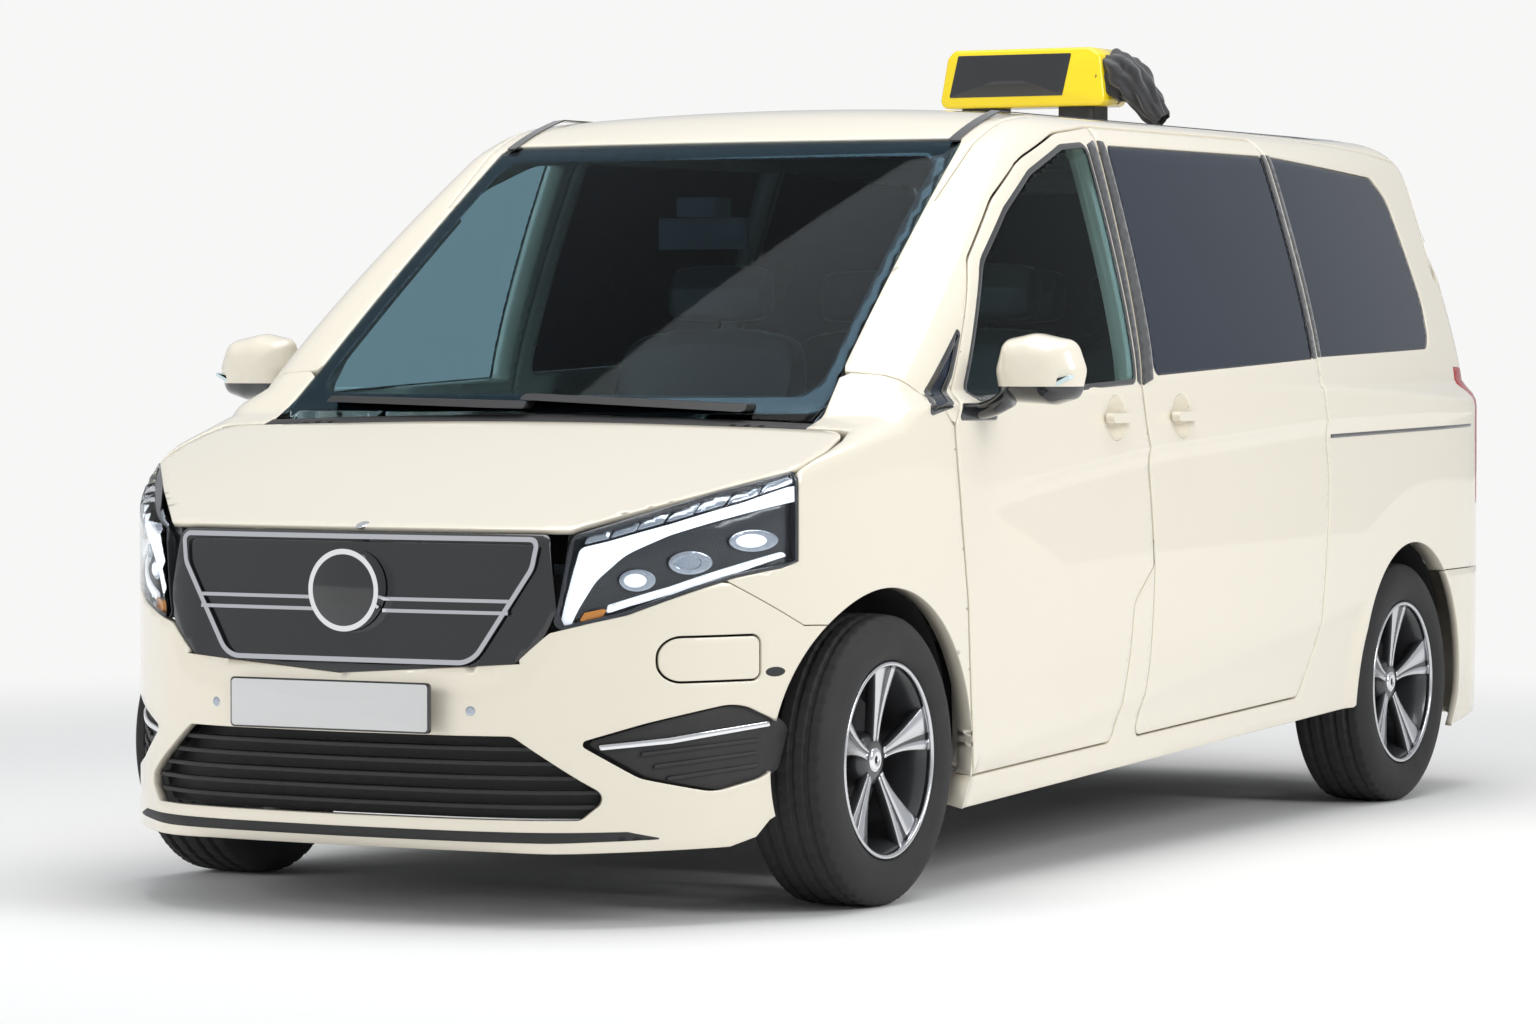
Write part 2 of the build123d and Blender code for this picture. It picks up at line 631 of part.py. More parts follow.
def make_underbody():
    """Floor, stepped firewall, four wheelhouses and the rails that carry the front end."""
    edge = half_width - wall
    toe = front_axle + 440
    floor = block((-edge, edge), (toe, tail - wall), (floor_top - floor_wall, floor_top))
    fire = block((-edge, edge), (toe - 30, toe), (260, 620))
    shelf = block((-edge, edge), (front_axle + 150, toe), (590, 620))
    upper = block((-edge, edge), (front_axle + 150, front_axle + 180), (590, 1020))
    shape = floor + fire + shelf + upper
    lining = []
    for side in (-1, 1):
        for axle, inner_x in ((front_axle, 520), (rear_axle, 680)):
            spans = [(inner_x, edge), (inner_x + 12, edge + 20)]
            if side < 0:
                spans = [(-out, -into) for into, out in spans]
            house = axle_arch(axle, tyre_radius, arch_radius + 12, *spans[0])
            space = axle_arch(axle, tyre_radius, arch_radius + 4, *spans[1])
            below = block((-edge, edge), (axle - 500, axle + 500), (-100, tyre_radius - 5))
            lining.append(house - space - below)
            shape = shape - space
        rail = block((side * 455 - 35, side * 455 + 35), (nose + 150, toe), (rail_low, 590))
        shape = shape + rail
    for liner in lining:
        shape = shape + liner
    for side in (-1, 1):
        foot = side * steering_axis_x(tyre_radius + arch_radius)
        shape = shape - Pos(foot, front_axle, tyre_radius + arch_radius) * Cylinder(70, 200)
    return biggest(shape & body_form(wall + 12))


def make_seat(x, y, width):
    """Cushion, backrest and head restraint as one plain soft body standing on its base."""
    base_top = floor_top + 230
    side = make_face(FilletPolyline(
        (y, base_top), (y - 20, base_top + 130), (y + 60, base_top + 165), (y + 430, base_top + 140),
        (y + 540, base_top + 650), (y + 580, base_top + 860), (y + 660, base_top + 860),
        (y + 650, base_top + 620), (y + 560, base_top),
        radius=[30, 50, 60, 60, 20, 30, 30, 60, 40], close=True))
    return extrude(Plane.YZ.offset(x - width / 2) * side, amount=width)


def main():
    os.makedirs("parts", exist_ok=True)
    panels = make_panels()
    panels["battery_pack"] = [block((-560, 560), (front_axle + 520, rear_axle - 560),
                                    (floor_top - floor_wall - 150, floor_top - floor_wall - seat_gap),
                                    40)]
    panels["power_unit"] = [block((-400, 400), (front_axle - 380, front_axle + 130),
                                  (frame_top + seat_gap, 760), 40)]
    panels["underbody"] = [make_underbody()]
    panels["front_frame"], panels["rear_suspension"] = [[item] for item in make_suspension()]
    knuckle = make_knuckle()
    panels["knuckle_left"], panels["knuckle_right"] = [[half] for half in both_sides(knuckle)]
    tyre, rim = make_tyre(), make_rim()
    for name, y, track in (("front", front_axle, track_front), ("rear", rear_axle, track_rear)):
        place = Pos(track / 2, y, tyre_radius)
        for kind, shape in (("tyre", tyre), ("rim", rim)):
            left, right = both_sides(place * shape)
            panels[f"{kind}_{name}_left"] = [left]
            panels[f"{kind}_{name}_right"] = [right]
    make_cabin(panels)
    make_roof_sign(panels)
    make_trim(panels)
    for name, shapes in panels.items():
        export_step(Compound(children=solids_of(shapes)), f"parts/{name}.step")


def make_cabin(panels):
    """Dashboard, steering wheel, seats and mirror inside the cabin."""
    dash = side_prism(outline(at_front([
        (215, 715), (215, 1040), (330, 1062), (560, 1035), (660, 950), (640, 860), (520, 790),
        (430, 715)]), [20, 40, 60, 60, 40, 40, 60, 20]), -860, 860)
    panels["dashboard"] = [dash]
    hub_y, hub_z = front_axle + 835, 1010
    tilt = Plane(origin=(steering_x, hub_y, hub_z), z_dir=(0, cos(radians(28)), sin(radians(28))))
    ring = Torus(178, 15)
    wheel = ring + Pos(0, 0, -14) * Cylinder(58, 40)
    for turn in (0, 180, 270):
        wheel = wheel + Rot(0, 0, turn) * Pos(110, 0, -6) * Box(140, 34, 16)
    column = Pos(0, 0, -104) * Cylinder(24, 130)
    panels["steering_wheel"] = [tilt * (wheel + column)]
    front = [make_seat(side * steering_x, front_axle + 1000, 520) for side in (1, -1)]
    panels["front_seats"] = front
    rows = []
    for row in seat_rows:
        rows += [make_seat(x, front_axle + row, 430) for x in (-450, 0, 450)]
    panels["rear_seats"] = rows
    bases = [block((side * steering_x - 210, side * steering_x + 210),
                   (front_axle + 1020, front_axle + 1520), (floor_top + seat_gap, floor_top + 229.7), 20)
             for side in (1, -1)]
    for row in seat_rows:
        bases += [block((x - 190, x + 190), (front_axle + row + 40, front_axle + row + 480),
                        (floor_top + seat_gap, floor_top + 229.7), 20) for x in (-450, 0, 450)]
    panels["seat_bases"] = bases
    housing = block((-60, 60), (front_axle + 770, front_axle + 850), (1600, 1648), 12)
    glass = block((-125, 125), (front_axle + 800, front_axle + 825), (1520, 1598), 6)
    panels["rear_view_mirror"] = [housing + glass]


def make_roof_sign(panels):
    """Illuminated roof box on two feet, with a soft cover bunched over its left end."""
    low, high = roof_height + 54, roof_height + 217
    face = outline([(-262, low), (252, low), (236, high - 20), (205, high), (-215, high),
                    (-236, high - 22)], [22, 22, 20, 30, 30, 20])
    shape = front_prism(face, sign_y - 78, sign_y + 78)
    panels["roof_sign"] = [fillet(shape.edges().filter_by(Axis.Y, reverse=True), 7)]
    feet = [block((x - 55, x + 55), (sign_y - 60, sign_y + 60), (1870, low - seat_gap), 20)
            - body_form(-seat_gap) for x in (-150, 150)]
    panels["sign_feet"] = [biggest(foot) for foot in feet]
    cover = outline([(258, low + 20), (330, roof_height - 25), (392, roof_height - 30),
                     (402, roof_height + 10), (345, low + 60), (300, high - 30), (262, high - 18)],
                    [8, 12, 3, 5, 20, 20, 6])
    panels["sign_cover"] = [biggest(front_prism(cover, sign_y - 60, sign_y + 70) - body_form(-seat_gap))]


def make_trim(panels):
    """Plates and door mirrors."""
    panels["front_plate"] = [block((-262, 262), (nose - 13, nose - seat_gap), (430, 542), 4)]
    panels["rear_plate"] = [block((-262, 262), (tail - 54, tail - 46), (930, 1042), 3)]
    housing = region([(992, 1150), (1130, 1142), (1190, 1160), (1205, 1225), (1180, 1292),
                      (1080, 1312), (1000, 1296), (980, 1225)], [20, 30, 30, 40, 40, 60, 30, 40])
    shell = front_prism(housing, front_axle + 392, front_axle + 482)
    front_edge = shell.edges().group_by(Axis.Y)[0]
    shell = fillet(front_edge, 14)
    arm = block((930, 1040), (front_axle + 410, front_axle + 468), (1112, 1158), 12)
    arm = biggest(arm - body_form(-seat_gap))
    left = arm + shell
    panels["mirror_left"], panels["mirror_right"] = [[half] for half in both_sides(left)]


main()
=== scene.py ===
import math

import bmesh
import bpy
import numpy as np
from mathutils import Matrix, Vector
from mathutils.geometry import delaunay_2d_cdt


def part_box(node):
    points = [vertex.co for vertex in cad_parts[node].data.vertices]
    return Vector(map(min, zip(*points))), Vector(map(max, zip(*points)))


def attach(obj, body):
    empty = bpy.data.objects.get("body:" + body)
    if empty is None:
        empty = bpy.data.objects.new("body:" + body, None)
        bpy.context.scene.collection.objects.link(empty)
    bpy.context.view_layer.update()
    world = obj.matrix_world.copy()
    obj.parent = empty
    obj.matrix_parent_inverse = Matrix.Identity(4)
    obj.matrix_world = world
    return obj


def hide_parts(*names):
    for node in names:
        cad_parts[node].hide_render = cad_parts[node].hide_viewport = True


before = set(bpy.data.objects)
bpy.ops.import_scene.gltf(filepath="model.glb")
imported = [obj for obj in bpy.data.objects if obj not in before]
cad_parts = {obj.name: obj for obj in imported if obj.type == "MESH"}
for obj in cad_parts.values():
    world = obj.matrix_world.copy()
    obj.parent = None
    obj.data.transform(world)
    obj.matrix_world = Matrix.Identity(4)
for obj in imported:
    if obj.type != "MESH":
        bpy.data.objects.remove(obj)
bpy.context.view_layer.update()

# Sizes in metres, on the frame's own axes: -Y is the nose, +X the car's left side
FRONT_OVERHANG = 0.895
WHEELBASE = 3.200
REAR_OVERHANG = 0.800
LENGTH = FRONT_OVERHANG + WHEELBASE + REAR_OVERHANG
FRONT_AXLE = -LENGTH / 2 + FRONT_OVERHANG
REAR_AXLE = FRONT_AXLE + WHEELBASE
TAIL = LENGTH / 2
SIDE = 0.964
ROOF = 1.893
BELT = 1.175
TYRE_RADIUS = 0.335
TYRE_WIDTH = 0.225
TRACK_FRONT = 1.666
TRACK_REAR = 1.646
ARCH = 0.394
SHUT = 0.005
HALF_GAP = SHUT / 2
NOSE_ARC = 5.2
TAIL_ARC = 6.0
ROUND = 0.0022
MIDDLE = (FRONT_AXLE + REAR_AXLE) / 2
SIDES = (("left", 1), ("right", -1))

# Stations behind the front axle where the top line changes its arc
GLASS_START = -0.015
HEADER_START = 0.871
STEEP_END = 0.9
ROOF_START = 1.440
ROOF_JOIN = ROOF + 0.012

# Section of the flank: widest height, curves below and above it, step and lean of the windows
WAIST = 0.69
CURVE_LOW = 0.1416
CURVE_HIGH = 0.0593
WINDOW_STEP = 0.016
WINDOW_RISE = 0.618
WINDOW_LEAN = 0.164
CREASE_DEPTH = 0.015
SHOULDER_DEPTH = 0.006
TUCK_DEPTH = 0.016
LIP_HEIGHT = 0.016
LIP_WIDTH = 0.032

# Thickness of the sheet parts, and how deep or proud the fitted ones sit
DOOR_THICK = 0.055
FRAME_THICK = 0.05
FENDER_THICK = 0.04
LID_THICK = 0.03
BUMPER_THICK = 0.02
HOOD_THICK = 0.012
PANE_THICK = 0.005
PANE_SINK = 0.003
TRIM_THICK = 0.003
STRIP_RISE = 0.0012
FRAME_RISE = 0.0008
SNUG = 0.0004


# Curves of the body
def arc_through(a, b, c):
    """Height of the circle through three points as a function of the distance along."""
    (x1, y1), (x2, y2), (x3, y3) = a, b, c
    d = 2 * (x1 * (y2 - y3) + x2 * (y3 - y1) + x3 * (y1 - y2))
    ux = ((x1**2 + y1**2) * (y2 - y3) + (x2**2 + y2**2) * (y3 - y1) + (x3**2 + y3**2) * (y1 - y2)) / d
    uy = ((x1**2 + y1**2) * (x3 - x2) + (x2**2 + y2**2) * (x1 - x3) + (x3**2 + y3**2) * (x2 - x1)) / d
    radius = math.hypot(x1 - ux, y1 - uy)
    sign = 1 if y2 > uy else -1
    return lambda s: uy + sign * np.sqrt(np.maximum(radius**2 - (s - ux) ** 2, 1e-6))


def soft_curve(knots, blur):
    """A polyline through the knots, blurred by a Gaussian so that its corners are round."""
    xs, ys = np.array(knots).T
    fine = np.linspace(xs[0] - 0.3, xs[-1] + 0.3, 1600)
    slope0 = (ys[1] - ys[0]) / (xs[1] - xs[0])
    slope1 = (ys[-1] - ys[-2]) / (xs[-1] - xs[-2])
    raw = np.interp(fine, xs, ys)
    raw = np.where(fine < xs[0], ys[0] + (fine - xs[0]) * slope0, raw)
    raw = np.where(fine > xs[-1], ys[-1] + (fine - xs[-1]) * slope1, raw)
    width = blur / (fine[1] - fine[0])
    reach = int(3 * width) + 1
    kernel = np.exp(-0.5 * (np.arange(-reach, reach + 1) / width) ** 2)
    padded = np.pad(raw, reach, mode="reflect", reflect_type="odd")
    smooth = np.convolve(padded, kernel / kernel.sum(), mode="valid")
    return lambda s: np.interp(s, fine, smooth)


def smooth_max(a, b, reach):
    """The larger of two fields, blended over the reach by h(1 - h) with h clamped to 0..1."""
    h = np.clip(0.5 + 0.5 * (a - b) / reach, 0, 1)
    return b + (a - b) * h + reach * h * (1 - h)


hood_line = arc_through((-0.745, 0.888), (-0.402, 1.001), (GLASS_START, 1.118))
glass_line = arc_through((GLASS_START, 1.118), (0.420, 1.455), (HEADER_START, 1.776))
header_line = arc_through((HEADER_START, 1.776), (1.095, 1.857), (ROOF_START, ROOF_JOIN))
nose_middle = soft_curve([(0.10, -0.79), (0.165, -0.812), (0.196, -0.858), (0.29, -0.868),
                          (0.43, -0.895), (0.505, -0.895), (0.548, -0.884), (0.566, -0.835),
                          (0.872, -0.799), (1.0, -0.785)], 0.010)
nose_side = soft_curve([(0.10, -0.80), (0.165, -0.830), (0.210, -0.868), (0.30, -0.876),
                        (0.44, -0.893), (0.52, -0.886), (0.64, -0.845), (0.872, -0.799),
                        (1.0, -0.785)], 0.030)
nose_plan = soft_curve([(-0.30, -0.866), (0.0, -0.898), (0.300, -0.866), (0.45, -0.818),
                        (0.551, -0.766), (0.66, -0.672), (0.752, -0.560), (0.83, -0.415),
                        (0.880, -0.290), (0.936, -0.100), (0.957, 0.02), (0.9605, 0.3)], 0.022)
tail_plan = soft_curve([(-0.35, -0.003), (0.0, 0.004), (0.35, -0.003), (0.70, -0.022),
                        (0.79, -0.040), (0.845, -0.075), (0.893, -0.145), (0.930, -0.240),
                        (0.952, -0.38), (0.966, -0.56), (0.968, -0.9)], 0.014)
tail_line = soft_curve([(0.1, -0.12), (0.2, -0.09), (0.3, -0.022), (0.43, 0.0), (0.56, 0.0),
                        (0.640, -0.038), (0.70, -0.048), (1.19, -0.062), (1.79, -0.178),
                        (1.866, -0.29), (1.90, -0.62)], 0.018)
crease_line = soft_curve([(-0.9, 0.80), (-0.06, 0.883), (0.66, 0.962), (1.39, 1.026),
                          (2.55, 1.080), (4.1, 1.10)], 0.10)
sill_line = soft_curve([(-1.0, 0.20), (0.40, 0.30), (1.32, 0.395), (2.56, 0.535), (2.9, 0.60),
                        (4.1, 0.62)], 0.08)


def top_height(station):
    """Height of hood, windshield, header and roof along the centre line."""
    hood = hood_line(np.minimum(station, 0))
    glass = glass_line(np.clip(station, -0.1, 0.9))
    header = header_line(np.clip(station, 0.8, ROOF_START))
    roof = ROOF_JOIN + 0.03 * (station - ROOF_START)
    return np.where(station < GLASS_START, hood,
                    np.where(station < HEADER_START, glass,
                             np.where(station < ROOF_START, header, roof)))


def side_relief(station, z):
    """Crease, sill tuck and wheel arch lips, as a distance that the side stands out."""
    below = np.minimum(z - crease_line(station), 0)
    above = np.maximum(z - crease_line(station), 0)
    relief = -CREASE_DEPTH * (1 - np.exp(below / 0.028)) * np.exp(below / 0.16)
    relief += -SHOULDER_DEPTH * (1 - np.exp(-above / 0.03))
    tuck = np.minimum(z - sill_line(station), 0)
    relief += -TUCK_DEPTH * (1 - np.exp(tuck / 0.05))
    for axle in (0.0, WHEELBASE):
        rim = np.hypot(station - axle, z - TYRE_RADIUS)
        relief += LIP_HEIGHT * np.exp(-(((rim - ARCH) / LIP_WIDTH) ** 2)) * (z > 0.14)
    return relief


def body_field(x, y, z):
    """Signed field of the body: the smooth maximum of its side, window, top, nose and tail forms."""
    station = y - FRONT_AXLE
    wide = np.abs(x)
    curve = np.where(z < WAIST, CURVE_LOW, CURVE_HIGH)
    side = wide - (SIDE - curve * (z - WAIST) ** 2)
    side = side - side_relief(station, z)
    height = np.maximum(z - BELT, 0) / WINDOW_RISE
    plan = (y - MIDDLE - 0.15) ** 2 / 45.8
    window = wide - (SIDE - WINDOW_STEP - WINDOW_LEAN * height**1.294 - plan)
    window = np.where(z < BELT, window - (BELT - z) * 1.4, window)
    crown = z - (ROOF + 0.003 - 0.070 * (x / 0.944) ** 2)
    centre = NOSE_ARC - np.sqrt((NOSE_ARC - station) ** 2 + x**2)
    steep = (centre >= GLASS_START) & (centre < STEEP_END)
    top = (z - top_height(centre)) * np.where(steep, 0.80, 0.95)
    share = np.clip((wide - 0.36) / 0.14, 0, 1)
    share = share * share * (3 - 2 * share)
    face = nose_middle(z) * (1 - share) + nose_side(z) * share
    nose = face - centre
    round_nose = (nose_plan(wide) - station) * 0.75
    back_axis = TAIL - TAIL_ARC
    back = back_axis + np.sqrt((y - back_axis) ** 2 + x**2)
    rear = (back - TAIL) - tail_line(z)
    round_rear = ((y - TAIL) - tail_plan(wide)) * 0.7
    flank = smooth_max(side, window, 0.008)
    lid = smooth_max(top, crown, 0.04)
    upper = smooth_max(flank, lid, 0.085)
    front = smooth_max(nose, round_nose, 0.05)
    end = smooth_max(rear, round_rear, 0.05)
    return smooth_max(smooth_max(upper, front, 0.035), end, 0.05)


def normals_at(points):
    """Outward unit normals, as the central difference gradient of the field."""
    step = 0.0015
    parts = []
    for axis in range(3):
        move = np.zeros(3)
        move[axis] = step
        ahead = body_field(*(points + move).T)
        behind = body_field(*(points - move).T)
        parts.append(ahead - behind)
    gradient = np.stack(parts, axis=1)
    return gradient / np.maximum(np.linalg.norm(gradient, axis=1, keepdims=True), 1e-9)


def hit(origins, directions, reach=1.6, sink=0.0):
    """Where rays from inside leave the body, by bisecting the field along each ray."""
    low = np.zeros(len(origins))
    high = np.full(len(origins), reach)
    for _ in range(34):
        middle = (low + high) / 2
        inside = body_field(*(origins + directions * middle[:, None]).T) < -sink
        low = np.where(inside, middle, low)
        high = np.where(inside, high, middle)
    return origins + directions * low[:, None]


class Side:
    """Charts one flank by station and by the angle about a line along the car."""
    axis_x = 0.30
    scale = (1.0, 1.5)

    def __init__(self, sign=1, axis_z=1.10):
        self.sign = sign
        self.axis_z = axis_z

    def rays(self, u, v):
        """Rays across the car from its inner line, at the angle v above level."""
        origins = np.stack([np.full_like(u, self.sign * self.axis_x), u, np.full_like(u, self.axis_z)], 1)
        return origins, np.stack([self.sign * np.cos(v), np.zeros_like(u), np.sin(v)], 1)

    def chart(self, points):
        """Station and angle of points on the body."""
        angle = np.arctan2(points[:, 2] - self.axis_z, self.sign * points[:, 0] - self.axis_x)
        return np.stack([points[:, 1], angle], 1)


class FromSide(Side):
    """Places an outline drawn in (y, z) on one flank."""

    def rays(self, u, v):
        """Level rays straight out to the side from (u, v)."""
        origins = np.stack([np.full_like(u, self.sign * self.axis_x), u, v], 1)
        return origins, np.stack([np.full_like(u, float(self.sign)), 0 * u, 0 * u], 1)


class FromFront:
    """Places an outline drawn in (x, z) on the front, from a plane across the car."""
    scale = (1.0, 1.0)

    def __init__(self, start=FRONT_AXLE + 0.05):
        self.start = start

    def rays(self, u, v):
        """Level rays straight ahead from (u, v)."""
        origins = np.stack([u, np.full_like(u, self.start), v], 1)
        return origins, np.stack([0 * u, -np.ones_like(u), 0 * u], 1)

    def chart(self, points):
        """The points seen from the front, as (x, z)."""
        return points[:, [0, 2]]


class FromRear(FromFront):
    """Places an outline drawn in (x, z) on the back."""

    def __init__(self, start=TAIL - 0.7):
        self.start = start

    def rays(self, u, v):
        """Level rays straight back from (u, v)."""
        origins = np.stack([u, np.full_like(u, self.start), v], 1)
        return origins, np.stack([0 * u, np.ones_like(u), 0 * u], 1)


class FromTop(FromFront):
    """Places an outline drawn in (x, y) on hood or roof."""

    def __init__(self, start=0.72):
        self.start = start

    def rays(self, u, v):
        """Upright rays from (u, v)."""
        origins = np.stack([u, v, np.full_like(u, self.start)], 1)
        return origins, np.stack([0 * u, 0 * u, np.ones_like(u)], 1)

    def chart(self, points):
        """The points seen from above, as (x, y)."""
        return points[:, :2]


class Nose:
    """Charts the front end by the angle about an upright line and by height."""
    centre = FRONT_AXLE - 0.02
    ahead = -1.0
    scale = (0.8, 1.0)

    def rays(self, u, v):
        """Level rays from the upright line, at the angle u from straight ahead."""
        origins = np.stack([0 * u, np.full_like(u, self.centre), v], 1)
        return origins, np.stack([np.sin(u), self.ahead * np.cos(u), 0 * u], 1)

    def chart(self, points):
        """Angle about the upright line, and height."""
        return np.stack([np.arctan2(points[:, 0], self.ahead * (points[:, 1] - self.centre)),
                         points[:, 2]], 1)


class Rump(Nose):
    """Charts the back end in the same way."""
    centre = TAIL - 0.55
    ahead = 1.0


def rounded(points, radii, step=0.012):
    """Sample a closed outline whose corners are arcs of the given radii."""
    points = np.array(points, float)
    if np.isscalar(radii):
        radii = [radii] * len(points)
    track = []
    for index, radius in enumerate(radii):
        before = points[index - 1] - points[index]
        after = points[(index + 1) % len(points)] - points[index]
        a, b = before / np.linalg.norm(before), after / np.linalg.norm(after)
        half = math.acos(float(np.clip(a @ b, -1, 1))) / 2
        if half > math.pi / 2 - 0.01 or radius <= 0:
            track.append(points[index][None])
            continue
        length = min(radius / math.tan(half), 0.47 * np.linalg.norm(before), 0.47 * np.linalg.norm(after))
        radius = length * math.tan(half)
        middle = points[index] + (a + b) / np.linalg.norm(a + b) * radius / math.sin(half)
        start, end = points[index] + a * length - middle, points[index] + b * length - middle
        sweep = math.pi - 2 * half
        turn = np.sign(start[0] * end[1] - start[1] * end[0])
        angles = np.linspace(0, sweep, max(3, int(sweep / 0.12)))
        base = math.atan2(start[1], start[0])
        arc = np.stack([np.cos(base + turn * angles), np.sin(base + turn * angles)], 1) * radius
        track.append(middle + arc)
    loop = np.concatenate(track)
    pieces = []
    for a, b in zip(loop, np.roll(loop, -1, axis=0)):
        count = max(1, int(np.linalg.norm(b - a) / step + 0.5))
        pieces.append(a + (b - a) * np.arange(count)[:, None] / count)
    return np.concatenate(pieces)


def grow(loop, amount):
    """Move a sampled outline along its own normals, outwards for a positive amount."""
    area = 0.5 * np.sum(loop[:, 0] * np.roll(loop[:, 1], -1) - loop[:, 1] * np.roll(loop[:, 0], -1))
    tangent = np.roll(loop, -1, axis=0) - np.roll(loop, 1, axis=0)
    normal = np.stack([tangent[:, 1], -tangent[:, 0]], 1)
    normal /= np.maximum(np.linalg.norm(normal, axis=1, keepdims=True), 1e-9)
    return loop + normal * amount * np.sign(area)


def inside(points, loop):
    """Even-odd test of many points against one closed outline."""
    x, y = points[:, 0][:, None], points[:, 1][:, None]
    ax, ay = loop.T
    bx, by = np.roll(loop, -1, axis=0).T
    crosses = (ay > y) != (by > y)
    at = ax + (y - ay) / np.where(by == ay, 1e-12, by - ay) * (bx - ax)
    return (np.sum(crosses & (x < at), axis=1) % 2) == 1


def place(loop, view, sink=0.0):
    """The outline's points on the body, found along the view's rays."""
    return hit(*view.rays(loop[:, 0], loop[:, 1]), sink=sink)


def make_mesh(name, vertices, faces, smooth=True):
    """A mesh object at the origin from whole arrays of vertices and faces."""
    mesh = bpy.data.meshes.new(name)
    mesh.from_pydata([tuple(v) for v in np.asarray(vertices, float).tolist()], [],
                     [tuple(f) for f in faces])
    mesh.validate()
    if smooth:
        mesh.shade_smooth()
    piece = bpy.data.objects.new(name, mesh)
    bpy.context.collection.objects.link(piece)
    return piece


BATCH = 256


def skin(name, loops, chart, thick, step=0.02, sink=0.0, edge=ROUND):
    """A closed panel: its outer face lies on the body field inside the first loop and outside the
    others, its edge is rounded, and its inner face lies the thickness further in. sink is a depth
    below the field, or a function that gives it from points on the field."""
    flat = [chart.chart(loop) for loop in loops]
    scale = np.array(chart.scale)
    low, high = flat[0].min(0), flat[0].max(0)
    spacing = step / scale
    u = np.arange(low[0] + spacing[0] / 2, high[0], spacing[0])
    v = np.arange(low[1] + spacing[1] / 2, high[1], spacing[1])
    grid = np.stack(np.meshgrid(u, v, indexing="ij"), -1)
    grid[:, 1::2, 0] += spacing[0] / 2
    grid = grid.reshape(-1, 2)
    keep = inside(grid, flat[0])
    for hole in flat[1:]:
        keep &= ~inside(grid, hole)
    border = np.concatenate(flat)
    grid = grid[keep]
    near = np.full(len(grid), np.inf)
    for start in range(0, len(border), BATCH):
        part = (grid[:, None] - border[None, start:start + BATCH]) * scale
        near = np.minimum(near, np.min(np.linalg.norm(part, axis=2), axis=1))
    grid = grid[near > 0.5 * step]
    edges = []
    count = 0
    for loop in flat:
        index = np.arange(len(loop)) + count
        edges += list(zip(index.tolist(), np.roll(index, -1).tolist()))
        count += len(loop)
    cloud = np.concatenate([border, grid])
    found = delaunay_2d_cdt([Vector(p) for p in (cloud * scale).tolist()], edges, [], 0, 1e-7)
    spots = np.array([tuple(p) for p in found[0]]) / scale
    faces = np.array(found[2])
    middles = spots[faces].mean(1)
    keep = inside(middles, flat[0])
    for hole in flat[1:]:
        keep &= ~inside(middles, hole)
    faces = faces[keep]
    outer = hit(*chart.rays(spots[:, 0], spots[:, 1]), sink=0.0 if callable(sink) else sink)
    if callable(sink):
        outer = hit(*chart.rays(spots[:, 0], spots[:, 1]), sink=sink(outer))
    normal = normals_at(outer)
    a, b, c = (outer[faces[:, i]] for i in range(3))
    turn = np.sum(np.cross(b - a, c - a) * normal[faces[:, 0]], axis=1)
    faces[turn < 0] = faces[turn < 0][:, ::-1]
    pairs = np.concatenate([faces[:, [0, 1]], faces[:, [1, 2]], faces[:, [2, 0]]])
    key = pairs[:, 0] * len(outer) + pairs[:, 1]
    back = pairs[:, 1] * len(outer) + pairs[:, 0]
    rim = pairs[~np.isin(key, back)]
    tangent = outer[rim[:, 1]] - outer[rim[:, 0]]
    away = np.cross(tangent, normal[rim[:, 0]])
    away /= np.maximum(np.linalg.norm(away, axis=1, keepdims=True), 1e-9)
    push = np.zeros_like(outer)
    np.add.at(push, rim[:, 0], away)
    np.add.at(push, rim[:, 1], away)
    push /= np.maximum(np.linalg.norm(push, axis=1, keepdims=True), 1e-9)
    total = len(outer)
    corner = 1 - math.sqrt(0.5)
    layers = [outer - push * edge,
              outer - push * edge * corner - normal * edge * corner,
              outer - normal * edge,
              outer - normal * thick]
    vertices = np.concatenate(layers)
    inner_faces = faces[:, ::-1] + 3 * total
    quads = []
    for layer in range(3):
        low_row, high_row = rim + layer * total, rim + (layer + 1) * total
        quads.append(np.stack([low_row[:, 1], low_row[:, 0], high_row[:, 0], high_row[:, 1]], 1))
    quads = np.concatenate(quads)
    used = np.unique(np.concatenate([faces.ravel(), inner_faces.ravel(), quads.ravel()]))
    renumber = np.full(len(vertices), -1)
    renumber[used] = np.arange(len(used))
    listed = renumber[np.concatenate([faces, inner_faces])].tolist() + renumber[quads].tolist()
    return make_mesh(name, vertices[used], listed)


# Outlines of the panels
def at_front(points):
    """Points given from the front axle, moved to the car's own frame."""
    return [(FRONT_AXLE + s, z) for s, z in points]


DOOR = rounded(at_front([
    (0.404, 0.268), (0.377, 0.684), (0.310, 1.098), (0.590, 1.486), (0.800, 1.640), (0.985, 1.740),
    (1.230, 1.812), (1.472, 1.836), (1.438, 1.768), (1.370, 1.172), (1.396, 1.026), (1.408, 0.728),
    (1.288, 0.640), (1.268, 0.500), (1.216, 0.296)]),
    [0.03, 0.06, 0.06, 0.12, 0.3, 0.3, 0.3, 0.004, 0.04, 0.08, 0.08, 0.02, 0.06, 0.08, 0.03])
SLIDER = rounded(at_front([
    (1.477, 1.836), (1.443, 1.768), (1.375, 1.172), (1.401, 1.026), (1.413, 0.728), (1.392, 0.480),
    (1.352, 0.301), (2.410, 0.338), (2.500, 0.470), (2.575, 0.916), (2.562, 1.247),
    (2.570, 1.790), (2.540, 1.838)]),
    [0.004, 0.04, 0.08, 0.08, 0.08, 0.08, 0.03, 0.04, 0.12, 0.2, 0.06, 0.02, 0.02])
